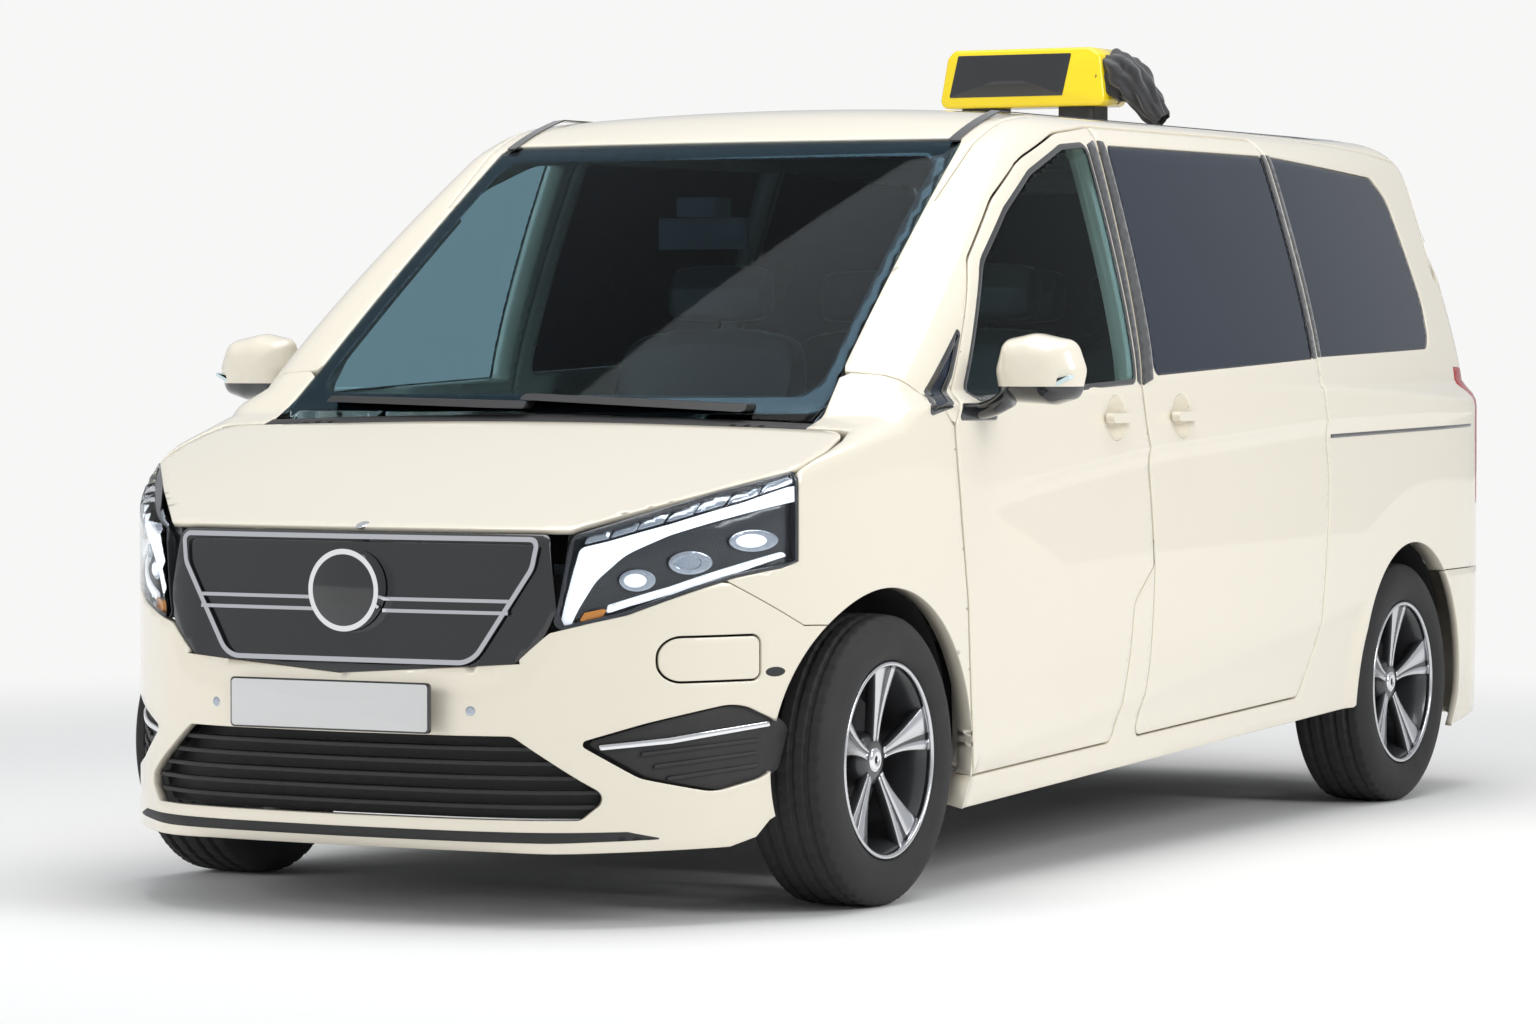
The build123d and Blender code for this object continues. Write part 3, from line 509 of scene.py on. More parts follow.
DOOR_GLASS = rounded(at_front([
    (0.420, 1.160), (0.640, 1.478), (0.830, 1.608), (1.010, 1.702), (1.230, 1.772), (1.372, 1.782),
    (1.330, 1.195)]), [0.02, 0.12, 0.2, 0.2, 0.1, 0.02, 0.015])
CORNER_GLASS = rounded(at_front([(0.170, 1.118), (0.300, 1.140), (0.375, 1.210), (0.470, 1.338)]),
                       [0.008, 0.012, 0.02, 0.006])
SLIDER_GLASS = rounded(at_front([(1.450, 1.205), (2.530, 1.245), (2.538, 1.795), (1.500, 1.790)]),
                       [0.03, 0.01, 0.01, 0.03])
QUARTER_GLASS = rounded(at_front([(2.590, 1.250), (3.560, 1.272), (3.575, 1.400), (3.500, 1.700),
                                  (3.410, 1.760), (2.598, 1.796)]), [0.01, 0.06, 0.08, 0.08, 0.06, 0.01])
TAILGATE = rounded([(-0.792, 0.655), (0.792, 0.655), (0.842, 0.900), (0.838, 1.200), (0.742, 1.790),
                    (0.690, 1.832), (-0.690, 1.832), (-0.742, 1.790), (-0.838, 1.200),
                    (-0.842, 0.900)], [0.06, 0.06, 0.06, 0.08, 0.06, 0.08, 0.08, 0.06, 0.08, 0.06])
REAR_GLASS = rounded([(-0.700, 1.225), (0.700, 1.225), (0.640, 1.745), (-0.640, 1.745)], 0.05)
HEADLAMP = rounded([(0.500, 0.652), (0.516, 0.720), (0.538, 0.866), (0.600, 0.890), (0.860, 1.004),
                    (0.930, 0.985), (0.930, 0.812), (0.800, 0.770), (0.640, 0.690)],
                   [0.02, 0.06, 0.02, 0.06, 0.02, 0.01, 0.01, 0.06, 0.06])
GRILLE = rounded([(-0.486, 0.868), (0.486, 0.868), (0.512, 0.700), (0.486, 0.640), (0.395, 0.556),
                  (-0.395, 0.556), (-0.486, 0.640), (-0.512, 0.700)],
                 [0.02, 0.02, 0.03, 0.06, 0.03, 0.03, 0.06, 0.03])
INTAKE = rounded([(-0.425, 0.425), (0.425, 0.425), (0.610, 0.290), (0.560, 0.240), (-0.560, 0.240),
                  (-0.610, 0.290)], [0.03, 0.03, 0.025, 0.02, 0.02, 0.025])
SIDE_INTAKE = rounded([(0.552, 0.410), (0.670, 0.452), (0.800, 0.492), (0.852, 0.440), (0.838, 0.325),
                       (0.770, 0.295), (0.660, 0.330)], [0.01, 0.08, 0.04, 0.05, 0.04, 0.04, 0.06])
FLAP = rounded(at_front([(-0.640, 0.540), (-0.420, 0.540), (-0.420, 0.640), (-0.640, 0.640)]),
               [0.045, 0.02, 0.02, 0.045])


def hood_loop():
    """Hood outline from above, symmetric, with a bowed rear edge."""
    half = [(0.540, -0.735), (0.705, -0.530), (0.858, -0.325), (0.872, -0.190), (0.852, -0.052)]
    left = [(x, FRONT_AXLE + s) for x, s in half]
    right = [(-x, y) for x, y in reversed(left)]
    rear = [(0.48, FRONT_AXLE - 0.062), (-0.48, FRONT_AXLE - 0.062)]
    front = [(-0.484, FRONT_AXLE - 0.792), (0.0, FRONT_AXLE - 0.812), (0.484, FRONT_AXLE - 0.792)]
    return rounded(left + rear + right + front,
                   [0.04, 0.2, 0.09, 0.09, 0.06, 0.6, 0.6, 0.06, 0.09, 0.09, 0.2, 0.04, 0.03, 2.0, 0.03])


def mirrored(loop, sign):
    """The same outline on the other side of the centre line."""
    return loop if sign > 0 else loop * np.array([-1.0, 1.0])


def chain(*parts):
    """Join runs of points on the body into one closed loop."""
    return np.concatenate(parts)


def run(points, view, step=0.012, sink=0.0):
    """An open run of an outline, sampled and laid on the body."""
    points = np.array(points, float)
    pieces = []
    for a, b in zip(points[:-1], points[1:]):
        count = max(1, int(np.linalg.norm(b - a) / step + 0.5))
        pieces.append(a + (b - a) * np.arange(count)[:, None] / count)
    return place(np.concatenate(pieces), view, sink)


# Materials
def material(name, color, rough=0.5, metal=0.0, coat=0.0, coat_rough=0.03, transmission=0.0, ior=1.5,
             bump=None, tint=None, alpha=1.0, sheen=0.0, emission=None, fleck=None):
    """A surface finish. bump is (scale, strength, distance), tint is (scale, share, second color) and
    fleck is (scale, amount) for uneven gloss, each from noise on object coordinates."""
    made = bpy.data.materials.new(name)
    made.use_nodes = True
    tree = made.node_tree
    shader = tree.nodes["Principled BSDF"]
    shader.inputs["Base Color"].default_value = (*color, 1)
    shader.inputs["Roughness"].default_value = rough
    shader.inputs["Metallic"].default_value = metal
    shader.inputs["Coat Weight"].default_value = coat
    shader.inputs["Coat Roughness"].default_value = coat_rough
    shader.inputs["Transmission Weight"].default_value = transmission
    shader.inputs["IOR"].default_value = ior
    shader.inputs["Alpha"].default_value = alpha
    shader.inputs["Sheen Weight"].default_value = sheen
    if emission:
        shader.inputs["Emission Color"].default_value = (*emission[0], 1)
        shader.inputs["Emission Strength"].default_value = emission[1]
    place_node = tree.nodes.new("ShaderNodeTexCoord")

    def noise(scale, detail=4.0):
        """A noise node on object coordinates."""
        node = tree.nodes.new("ShaderNodeTexNoise")
        node.inputs["Scale"].default_value = scale
        node.inputs["Detail"].default_value = detail
        tree.links.new(place_node.outputs["Object"], node.inputs["Vector"])
        return node

    if tint:
        scale, share, second = tint
        mix = tree.nodes.new("ShaderNodeMix")
        mix.data_type = "RGBA"
        mix.inputs["A"].default_value = (*color, 1)
        mix.inputs["B"].default_value = (*second, 1)
        level = tree.nodes.new("ShaderNodeMapRange")
        level.inputs["From Min"].default_value = 0.35
        level.inputs["From Max"].default_value = 0.70
        level.inputs["To Max"].default_value = share
        tree.links.new(noise(scale).outputs["Fac"], level.inputs["Value"])
        tree.links.new(level.outputs["Result"], mix.inputs["Factor"])
        tree.links.new(mix.outputs["Result"], shader.inputs["Base Color"])
    if fleck:
        scale, amount = fleck
        level = tree.nodes.new("ShaderNodeMapRange")
        level.inputs["To Min"].default_value = max(rough - amount, 0.0)
        level.inputs["To Max"].default_value = rough + amount
        tree.links.new(noise(scale).outputs["Fac"], level.inputs["Value"])
        tree.links.new(level.outputs["Result"], shader.inputs["Roughness"])
    if bump:
        scale, strength, distance = bump
        relief = tree.nodes.new("ShaderNodeBump")
        relief.inputs["Strength"].default_value = strength
        relief.inputs["Distance"].default_value = distance
        tree.links.new(noise(scale, 6.0).outputs["Fac"], relief.inputs["Height"])
        tree.links.new(relief.outputs["Normal"], shader.inputs["Normal"])
    return made


IVORY = material("ivory_paint", (0.80, 0.745, 0.62), 0.32, coat=1.0, bump=(900, 0.02, 0.0002),
                 tint=(3.0, 0.25, (0.79, 0.73, 0.60)))
PIANO = material("piano_black", (0.010, 0.011, 0.013), 0.12, coat=1.0, fleck=(6, 0.03))
GRAIN = material("grained_black", (0.018, 0.018, 0.019), 0.55, bump=(650, 0.35, 0.0006),
                 tint=(30, 0.4, (0.03, 0.03, 0.031)))
CHROME = material("bright_chrome", (0.82, 0.83, 0.85), 0.07, metal=1.0, fleck=(9, 0.03))
ALLOY = material("machined_alloy", (0.66, 0.67, 0.69), 0.22, metal=1.0, fleck=(40, 0.06),
                 bump=(220, 0.05, 0.0003))
DARK_ALLOY = material("painted_alloy", (0.035, 0.036, 0.039), 0.35, coat=0.6, fleck=(30, 0.05))
RUBBER = material("tyre_rubber", (0.016, 0.016, 0.017), 0.72, bump=(140, 0.25, 0.0008),
                  tint=(12, 0.5, (0.028, 0.027, 0.026)))
TINT = material("windshield_glass", (0.36, 0.50, 0.58), 0.02, transmission=1.0, ior=1.1, fleck=(2, 0.0))
DOOR_TINT = material("door_glass", (0.55, 0.72, 0.72), 0.02, transmission=1.0, ior=1.1, fleck=(2, 0.0))
PRIVACY = material("privacy_glass", (0.012, 0.020, 0.038), 0.05, ior=1.33, fleck=(1.5, 0.02),
                   tint=(1.2, 0.8, (0.012, 0.017, 0.028)))
LENS = material("lamp_lens", (0.93, 0.95, 0.97), 0.02, transmission=1.0, ior=1.12, fleck=(3, 0.0))
LAMP_DARK = material("lamp_bezel", (0.05, 0.055, 0.062), 0.25, metal=0.3, coat=0.5, fleck=(50, 0.05))
RED = material("lamp_red", (0.36, 0.004, 0.006), 0.14, coat=0.3, bump=(260, 0.10, 0.0006))
CABIN = material("cabin_plastic", (0.030, 0.031, 0.034), 0.6, bump=(800, 0.3, 0.0004),
                 tint=(20, 0.3, (0.045, 0.046, 0.05)))
LEATHER = material("seat_leather", (0.020, 0.021, 0.024), 0.45, bump=(380, 0.35, 0.0006), sheen=0.2,
                   tint=(9, 0.4, (0.035, 0.036, 0.040)))
IRON = material("cast_iron", (0.05, 0.048, 0.046), 0.6, metal=0.6, bump=(160, 0.3, 0.0008),
                tint=(18, 0.5, (0.09, 0.075, 0.06)))
STEEL = material("coated_steel", (0.12, 0.12, 0.125), 0.45, metal=0.7, bump=(90, 0.15, 0.0006),
                 fleck=(12, 0.1))
YELLOW = material("sign_yellow", (0.86, 0.66, 0.006), 0.25, coat=0.6, fleck=(14, 0.04),
                  tint=(5, 0.3, (0.80, 0.60, 0.008)))
PLATE = material("plate_white", (0.62, 0.62, 0.62), 0.35, coat=0.4, bump=(300, 0.05, 0.0003),
                 fleck=(30, 0.05))


def finish(piece, look, body, slot, *nodes):
    """Give a piece its material and its body, and hide the nodes that it stands for. The slot is not used."""
    piece.data.materials.clear()
    piece.data.materials.append(look)
    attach(piece, body)
    if nodes:
        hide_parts(*nodes)
    return piece


def restyle(node, look):
    """Give a carried-over node a new material."""
    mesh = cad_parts[node].data
    mesh.materials.clear()
    mesh.materials.append(look)


# Body panels
BOWL = 0.056
BOWL_STRETCH = 1.05
BOWL_DEPTH = 0.024
HANDLE_Z = 1.102
DOOR_HANDLE = 1.205
SLIDER_HANDLE = 1.603


def bowl_loop(station):
    """Circle of a door handle's recess."""
    turn = np.linspace(0, 2 * math.pi, 60, endpoint=False)
    return np.stack([FRONT_AXLE + station + BOWL * BOWL_STRETCH * np.cos(turn),
                     HANDLE_Z + BOWL * np.sin(turn)], 1)


def bowl_depth(station):
    """The recess's depth as a function of points on the flank."""
    def depth(points):
        """0.8th power of 1 - r^2, r being the share of the recess's radius, times its depth."""
        along = (points[:, 1] - FRONT_AXLE - station) / (BOWL * BOWL_STRETCH)
        away = np.clip(along**2 + ((points[:, 2] - HANDLE_Z) / BOWL) ** 2, 0, 1)
        return BOWL_DEPTH * (1 - away) ** 0.8
    return depth


def flank_panels(name, sign):
    """Doors, panes, pillar strips and trims of one flank."""
    flank = FromSide(sign)
    chart = Side(sign)

    def on_side(loop, amount=0.0):
        """An outline grown by the amount and laid on this flank."""
        return place(grow(loop, amount), flank)

    door_loops = [on_side(DOOR, -HALF_GAP), on_side(DOOR_GLASS), on_side(bowl_loop(DOOR_HANDLE))]
    door = skin(f"door_panel_{name}", door_loops, chart, DOOR_THICK)
    finish(door, IVORY, f"door_{name}", "body_paint", f"door_{name}")
    pane = skin(f"door_pane_{name}", [on_side(DOOR_GLASS, -SNUG)], chart, PANE_THICK, sink=PANE_SINK)
    finish(pane, DOOR_TINT, f"door_{name}", "clear_glass", f"door_glass_{name}")
    slider_loops = [on_side(SLIDER, -HALF_GAP), on_side(SLIDER_GLASS), on_side(bowl_loop(SLIDER_HANDLE))]
    slider = skin(f"sliding_panel_{name}", slider_loops, chart, DOOR_THICK)
    finish(slider, IVORY, "car", "body_paint", "sliding_doors")
    for part, loop in (("sliding", SLIDER_GLASS), ("quarter", QUARTER_GLASS), ("corner", CORNER_GLASS)):
        pane = skin(f"{part}_pane_{name}", [on_side(loop, -SNUG)], chart, PANE_THICK, sink=PANE_SINK)
        finish(pane, PRIVACY, "car", "dark_glass", "side_windows")
    for title, station, body in (("door", DOOR_HANDLE, f"door_{name}"), ("slider", SLIDER_HANDLE, "car")):
        dish = skin(f"{title}_bowl_{name}", [on_side(bowl_loop(station), -0.0003)], chart, 0.006,
                    step=0.006, sink=bowl_depth(station), edge=0.0006)
        finish(dish, IVORY, body, "body_paint")
    pillar = [(1.346, 1.192), (1.386, 1.786), (1.438, 1.800), (1.4350, 1.768), (1.3672, 1.180)]
    strip = skin(f"door_pillar_{name}", [on_side(rounded(at_front(pillar), 0.004))], chart,
                 TRIM_THICK, sink=-STRIP_RISE, edge=0.001)
    finish(strip, PIANO, f"door_{name}", "black_gloss")
    pillar = [(1.3785, 1.180), (1.4460, 1.768), (1.4620, 1.800), (1.4960, 1.798), (1.4440, 1.196)]
    strip = skin(f"slider_pillar_{name}", [on_side(rounded(at_front(pillar), 0.004))], chart,
                 TRIM_THICK, sink=-STRIP_RISE, edge=0.001)
    finish(strip, PIANO, "car", "black_gloss")
    for title, strip in (("front", [(2.527, 1.244), (2.535, 1.797), (2.5660, 1.797), (2.5590, 1.246)]),
                         ("rear", [(2.5655, 1.248), (2.5735, 1.797), (2.6020, 1.797), (2.5940, 1.250)])):
        post = skin(f"rear_post_{title}_{name}", [on_side(rounded(at_front(strip), 0.004))], chart,
                    TRIM_THICK, sink=-STRIP_RISE, edge=0.001)
        finish(post, PIANO, "car", "black_gloss")
    frame_loops = [on_side(DOOR_GLASS, 0.011), on_side(DOOR_GLASS, -0.003)]
    trim = skin(f"door_frame_{name}", frame_loops, chart, 0.004, sink=-FRAME_RISE, edge=0.0008)
    finish(trim, PIANO, f"door_{name}", "black_gloss")
    frame_loops = [on_side(CORNER_GLASS, 0.004), on_side(CORNER_GLASS, -0.012)]
    trim = skin(f"corner_frame_{name}", frame_loops, chart, TRIM_THICK, sink=-FRAME_RISE, edge=0.0008)
    finish(trim, PIANO, "car", "black_gloss")
    track = rounded(at_front([(2.600, 1.030), (3.700, 1.046), (3.700, 1.056), (2.600, 1.041)]), 0.002)
    trim = skin(f"slider_track_{name}", [on_side(track)], chart, TRIM_THICK, sink=-0.0010, edge=0.0008)
    finish(trim, PIANO, "car", "black_gloss")


for name, sign in SIDES:
    flank_panels(name, sign)


def stretch(loop, start, end, back=False):
    """The consecutive points of a loop from the one nearest the start to the one nearest the end."""
    if back:
        loop = loop[::-1]
    first = np.argmin(np.linalg.norm(loop - np.array(start), axis=1))
    loop = np.roll(loop, -first, axis=0)
    return loop[:np.argmin(np.linalg.norm(loop - np.array(end), axis=1)) + 1]


def from_axle(s, z):
    """A point given from the front axle, in the car's own frame."""
    return (FRONT_AXLE + s, z)


def arch_points(axle, start, end, count=60):
    """Points of a wheel arch between two angles in degrees."""
    angles = np.radians(np.linspace(start, end, count))
    return np.stack([axle + ARCH * np.cos(angles), TYRE_RADIUS + ARCH * np.sin(angles)], 1)


def lamp_loop(sign, amount=0.0):
    """Headlamp outline on the body, cut off where the fender begins."""
    flat = mirrored(grow(HEADLAMP, amount), sign)
    found = place(flat, FromFront())
    limit = FRONT_AXLE - 0.318 + amount
    late = found[:, 1] > limit
    side = np.stack([np.full(late.sum(), limit), np.clip(flat[late, 1], 0.80, 0.985)], 1)
    found[late] = place(side, FromSide(sign))
    keep = np.ones(len(found), bool)
    keep[1:] = np.linalg.norm(np.diff(found, axis=0), axis=1) > 0.002
    return found[keep]


glass_view = FromFront(FRONT_AXLE + 1.5)
door_edge = grow(DOOR, HALF_GAP)
slider_edge = grow(SLIDER, HALF_GAP)
GATE_TOP = TAIL - 0.2525
INTAKE_SINK = 0.022


def flank_frames(name, sign):
    """Fender, side frame, lamp covers and side intake of one side."""
    flank, chart, top = FromSide(sign), Side(sign), FromTop()

    def lay(points, view=flank):
        """Points of an outline laid on the body."""
        return place(np.asarray(points, float), view)

    def across(points):
        """Points given for the left side, moved to this side."""
        return [(sign * x, other) for x, other in points]

    # Fender, from the headlamp to the door
    lamp_low = [(0.785, 0.763), (0.800, 0.769), (0.862, 0.790)]
    fender = chain(
        lay(arch_points(FRONT_AXLE, -9, 126)),
        run([from_axle(-0.235, 0.655), from_axle(-0.302, 0.657), from_axle(-0.505, 0.764)], flank),
        run(across(lamp_low), FromFront()),
        run([from_axle(-0.3177, 0.800), from_axle(-0.3177, 0.978)], flank),
        run(across([(0.8625, FRONT_AXLE - 0.3177), (0.8700, FRONT_AXLE - 0.280), (0.8760, FRONT_AXLE - 0.200),
                    (0.8720, FRONT_AXLE - 0.120), (0.8560, FRONT_AXLE - 0.055), (0.8300, FRONT_AXLE - 0.0475),
                    (0.7428, FRONT_AXLE - 0.0480), (0.7428, FRONT_AXLE - 0.008)]), top),
        run(across([(0.7415, 1.115), (0.7335, 1.160), (0.7232, 1.2190)]), glass_view),
        run([from_axle(0.166, 1.2185), from_axle(0.2300, 1.1618)], flank),
        lay(stretch(CORNER_GLASS, from_axle(0.2300, 1.1618), from_axle(0.2635, 1.1335))),
        run([from_axle(0.2635, 1.1335), from_axle(0.286, 1.110), from_axle(0.305, 1.094),
             from_axle(0.372, 0.684), from_axle(0.399, 0.268), from_axle(0.390, 0.268)], flank))
    fender_panel = skin(f"fender_{name}", [fender], Side(sign, 0.80), FENDER_THICK)
    finish(fender_panel, IVORY, "car", "body_paint", "fenders")

    # Side frame: sill, rear quarter, roof rail and windshield pillar
    gate_side = lay(across(stretch(grow(TAILGATE, HALF_GAP), (0.8400, 1.2200), (0.742, 1.792))), FromRear())
    early = gate_side[:, 1] < GATE_TOP
    gate_side[early] = place(np.stack([gate_side[early, 0], np.full(early.sum(), GATE_TOP)], 1), top)
    frame_loop = chain(
        run([from_axle(0.404, 0.192), (REAR_AXLE - 0.392, 0.288)], flank),
        lay(arch_points(REAR_AXLE, 186, 51)),
        run([(REAR_AXLE + 0.26, 0.6425), (TAIL - 0.30, 0.6425)], flank),
        run([(sign * 0.9460, 0.6425), (sign * 0.8000, 0.6425)], FromRear()),
        lay(across(stretch(grow(TAILGATE, HALF_GAP), (0.800, 0.6600), (0.8400, 0.8300))), FromRear()),
        run([(TAIL - 0.145, 0.8317), (TAIL - 0.240, 0.8317), (TAIL - 0.240, 1.2183),
             (TAIL - 0.150, 1.2183)], flank),
        gate_side,
        run(across([(0.7150, TAIL - 0.2560), (0.6903, TAIL - 0.2700), (0.6903, FRONT_AXLE + 0.7025)]), top),
        run(across([(0.6735, 1.635), (0.7226, 1.2240)]), glass_view),
        run([from_axle(0.1675, 1.2215), from_axle(0.2325, 1.1630)], flank),
        lay(stretch(CORNER_GLASS, from_axle(0.2325, 1.1630), from_axle(0.2650, 1.1340), back=True)),
        run([from_axle(0.2650, 1.1340), from_axle(0.288, 1.112), from_axle(0.304, 1.1000)], flank),
        lay(stretch(door_edge, from_axle(0.306, 1.106), from_axle(1.468, 1.8385))),
        lay(stretch(slider_edge, from_axle(1.482, 1.8385), from_axle(1.411, 0.790), back=True)),
        lay(stretch(door_edge, from_axle(1.404, 0.780), from_axle(0.420, 0.2655))))
    frame_panel = skin(f"side_frame_{name}", [frame_loop, lay(QUARTER_GLASS)], chart, FRAME_THICK)
    finish(frame_panel, IVORY, "car", "body_paint", "side_frames")

    # Lamp covers
    lens = skin(f"lamp_lens_{name}", [lamp_loop(sign, -SNUG)], Nose(), 0.003)
    finish(lens, LENS, "car", "lamp_clear", "headlamps")
    tail_lamp = chain(run(across([(0.8505, 0.8325), (0.8465, 1.2175)]), FromRear()),
                      run([(TAIL - 0.150, 1.2175), (TAIL - 0.2395, 1.2175), (TAIL - 0.2395, 0.8325),
                           (TAIL - 0.145, 0.8325)], flank))
    finish(skin(f"tail_lamp_{name}", [tail_lamp], Rump(), 0.03), RED, "car", "lamp_red", "tail_lamps")
    intake = place(mirrored(grow(SIDE_INTAKE, -SNUG), sign), FromFront(), INTAKE_SINK)
    finish(skin(f"side_intake_{name}", [intake], Nose(), 0.012, sink=INTAKE_SINK), GRAIN, "car",
           "black_plastic", "side_intakes")


for name, sign in SIDES:
    flank_frames(name, sign)


# Hood, cowl, windshield and roof
def hood_edge(amount):
    """The hood outline on the body: seen from the front along the lip, from above elsewhere."""
    flat = grow(hood_loop(), amount)
    lip = flat[:, 1] < FRONT_AXLE - 0.745
    found = place(flat, FromTop())
    found[lip] = place(np.stack([flat[lip, 0], np.full(lip.sum(), 0.8745 - amount)], 1), FromFront())
    return found


finish(skin("hood_panel", [hood_edge(-HALF_GAP)], FromTop(), HOOD_THICK), IVORY, "hood", "body_paint", "hood")
foot = FRONT_AXLE - 0.008
cowl = run([(-0.7420, foot - SNUG), (0.7420, foot - SNUG), (0.7420, FRONT_AXLE - 0.0475),
            (0.4800, FRONT_AXLE - 0.0570), (-0.4800, FRONT_AXLE - 0.0570),
            (-0.7420, FRONT_AXLE - 0.0475), (-0.7420, foot - SNUG)], FromTop())
finish(skin("cowl_panel", [cowl], FromTop(), 0.01, sink=0.002), GRAIN, "car", "black_plastic", "cowl")
top_corners = rounded([(-0.7335, 1.150), (-0.722, 1.216), (-0.652, 1.790), (0.652, 1.790), (0.722, 1.216),
                       (0.7335, 1.150)], [0, 0.06, 0.025, 0.025, 0.06, 0])
upper_edge = stretch(top_corners, (0.7335, 1.150), (-0.7335, 1.150), back=True)
pane_loop = chain(run([(-0.7415, foot + SNUG), (0.7415, foot + SNUG)], FromTop()),
                  place(upper_edge, glass_view))
pane = skin("windshield_pane", [pane_loop], glass_view, PANE_THICK, sink=PANE_SINK)
finish(pane, TINT, "car", "clear_glass", "windshield")
inner = place(rounded([(-0.69, 1.165), (-0.615, 1.745), (0.615, 1.745), (0.69, 1.165)],
                      0.05), glass_view)
frit = skin("windshield_band", [pane_loop, inner], glass_view, 0.001, sink=0.0085)
finish(frit, PIANO, "car", "black_gloss")

roof_front = rounded([(-0.6735, 1.635), (-0.6545, 1.7925), (0.6545, 1.7925), (0.6735, 1.635)],
                     [0, 0.027, 0.027, 0])
roof_front = stretch(roof_front, (-0.6735, 1.635), (0.6735, 1.635))
roof_loop = chain(
    place(roof_front, glass_view),
    run([(0.6875, FRONT_AXLE + 0.7025), (0.6875, TAIL - 0.2700), (0.6700, TAIL - 0.2555),
         (0.4650, TAIL - 0.2555)], FromTop()),
    run([(0.4600, 1.8345), (-0.4600, 1.8345)], FromRear()),
    run([(-0.4650, TAIL - 0.2555), (-0.6700, TAIL - 0.2555), (-0.6875, TAIL - 0.2700),
         (-0.6875, FRONT_AXLE + 0.7025), (-0.6880, FRONT_AXLE + 0.7025)], FromTop()))
finish(skin("roof_panel", [roof_loop], FromTop(), LID_THICK), IVORY, "car", "body_paint", "roof")

# Tailgate
gate = place(grow(TAILGATE, -HALF_GAP), FromRear())
early = gate[:, 1] < TAIL - 0.250
gate[early] = place(np.stack([gate[early, 0], np.full(early.sum(), TAIL - 0.250)], 1), FromTop())
window = place(REAR_GLASS, FromRear())
gate_panel = skin("tailgate_panel", [gate, window], FromRear(), LID_THICK)
finish(gate_panel, IVORY, "tailgate", "body_paint", "tailgate")
pane = skin("tailgate_pane", [place(grow(REAR_GLASS, -SNUG), FromRear())], FromRear(), PANE_THICK,
            sink=PANE_SINK)
finish(pane, PRIVACY, "tailgate", "dark_glass", "tailgate_glass")

# Bumpers
lamp_edge = rounded([(0.3950, 0.5560), (0.4860, 0.6400), (0.5000, 0.6520), (0.6400, 0.6900),
                     (0.8000, 0.7690)], [0.03, 0.03, 0.01, 0.06, 0.0])
half_top = stretch(lamp_edge, (0.395, 0.556), (0.800, 0.769))
half_top = half_top[half_top[:, 0] < 0.785]
top_line = np.concatenate([half_top[::-1], [(0.0, 0.556)], half_top * np.array([-1.0, 1.0])])
left, right = FromSide(1), FromSide(-1)
rear_rise = [from_axle(-0.5050, 0.7620), from_axle(-0.3020, 0.6550), from_axle(-0.2330, 0.6530)]
skirt = [from_axle(-0.3870, 0.2350), from_axle(-0.4300, 0.1900)]
bumper_loop = chain(
    run(rear_rise[::-1], left),
    place(top_line, FromFront()),
    run(rear_rise, right),
    place(arch_points(FRONT_AXLE, 127, 195, 40), right),
    run(skirt, right),
    run([(-0.800, 0.172), (-0.500, 0.166), (0.500, 0.166), (0.800, 0.172)], FromFront()),
    run(skirt[::-1], left),
    place(arch_points(FRONT_AXLE, 195, 127, 40), left))
holes = [place(INTAKE, FromFront()), place(grow(FLAP, HALF_GAP), left)]
for name, sign in SIDES:
    holes.append(place(mirrored(SIDE_INTAKE, sign), FromFront()))
bumper = skin("bumper_panel", [bumper_loop, *holes], Nose(), BUMPER_THICK)
finish(bumper, IVORY, "car", "body_paint", "front_bumper")
flap = skin("charge_flap_panel", [place(grow(FLAP, -HALF_GAP), left)], Nose(), HOOD_THICK)
finish(flap, IVORY, "charge_flap", "body_paint", "charge_flap")
face = skin("grille_panel", [place(grow(GRILLE, -SNUG), FromFront())], FromFront(), 0.02, sink=0.004)
finish(face, PIANO, "car", "black_gloss", "grille")
mesh = skin("lower_grille_back", [place(grow(INTAKE, -SNUG), FromFront())], FromFront(), 0.01, sink=0.045)
finish(mesh, GRAIN, "car", "black_plastic", "lower_grille")

rear_loop = chain(
    place(arch_points(REAR_AXLE, 50, -22, 40), left),
    run([(REAR_AXLE + 0.400, 0.190), (TAIL - 0.30, 0.200)], left),
    run([(0.800, 0.205), (-0.800, 0.205)], FromRear()),
    run([(TAIL - 0.30, 0.200), (REAR_AXLE + 0.400, 0.190)], right),
    place(arch_points(REAR_AXLE, -22, 50, 40), right),
    run([(REAR_AXLE + 0.26, 0.6400), (TAIL - 0.30, 0.6400)], right),
    run([(-0.9460, 0.6400), (0.9460, 0.6400)], FromRear()),
    run([(TAIL - 0.30, 0.6400), (REAR_AXLE + 0.26, 0.6400)], left))
bumper = skin("rear_bumper_panel", [rear_loop], Rump(), BUMPER_THICK)
finish(bumper, IVORY, "car", "body_paint", "rear_bumper")


# Closed forms made of rings
def shell(name, parts):
    """One mesh from closed shells, each (vertices, face arrays), turned so that all faces point out."""
    vertices, faces, start = [], [], 0
    for points, groups in parts:
        volume = 0.0
        for group in groups:
            corner = points[group]
            for k in range(1, group.shape[1] - 1):
                volume += np.sum(corner[:, 0] * np.cross(corner[:, k], corner[:, k + 1]))
        for group in groups:
            turned = group if volume > 0 else group[:, ::-1]
            faces += (turned + start).tolist()
        vertices.append(points)
        start += len(points)
    return make_mesh(name, np.concatenate(vertices), faces)


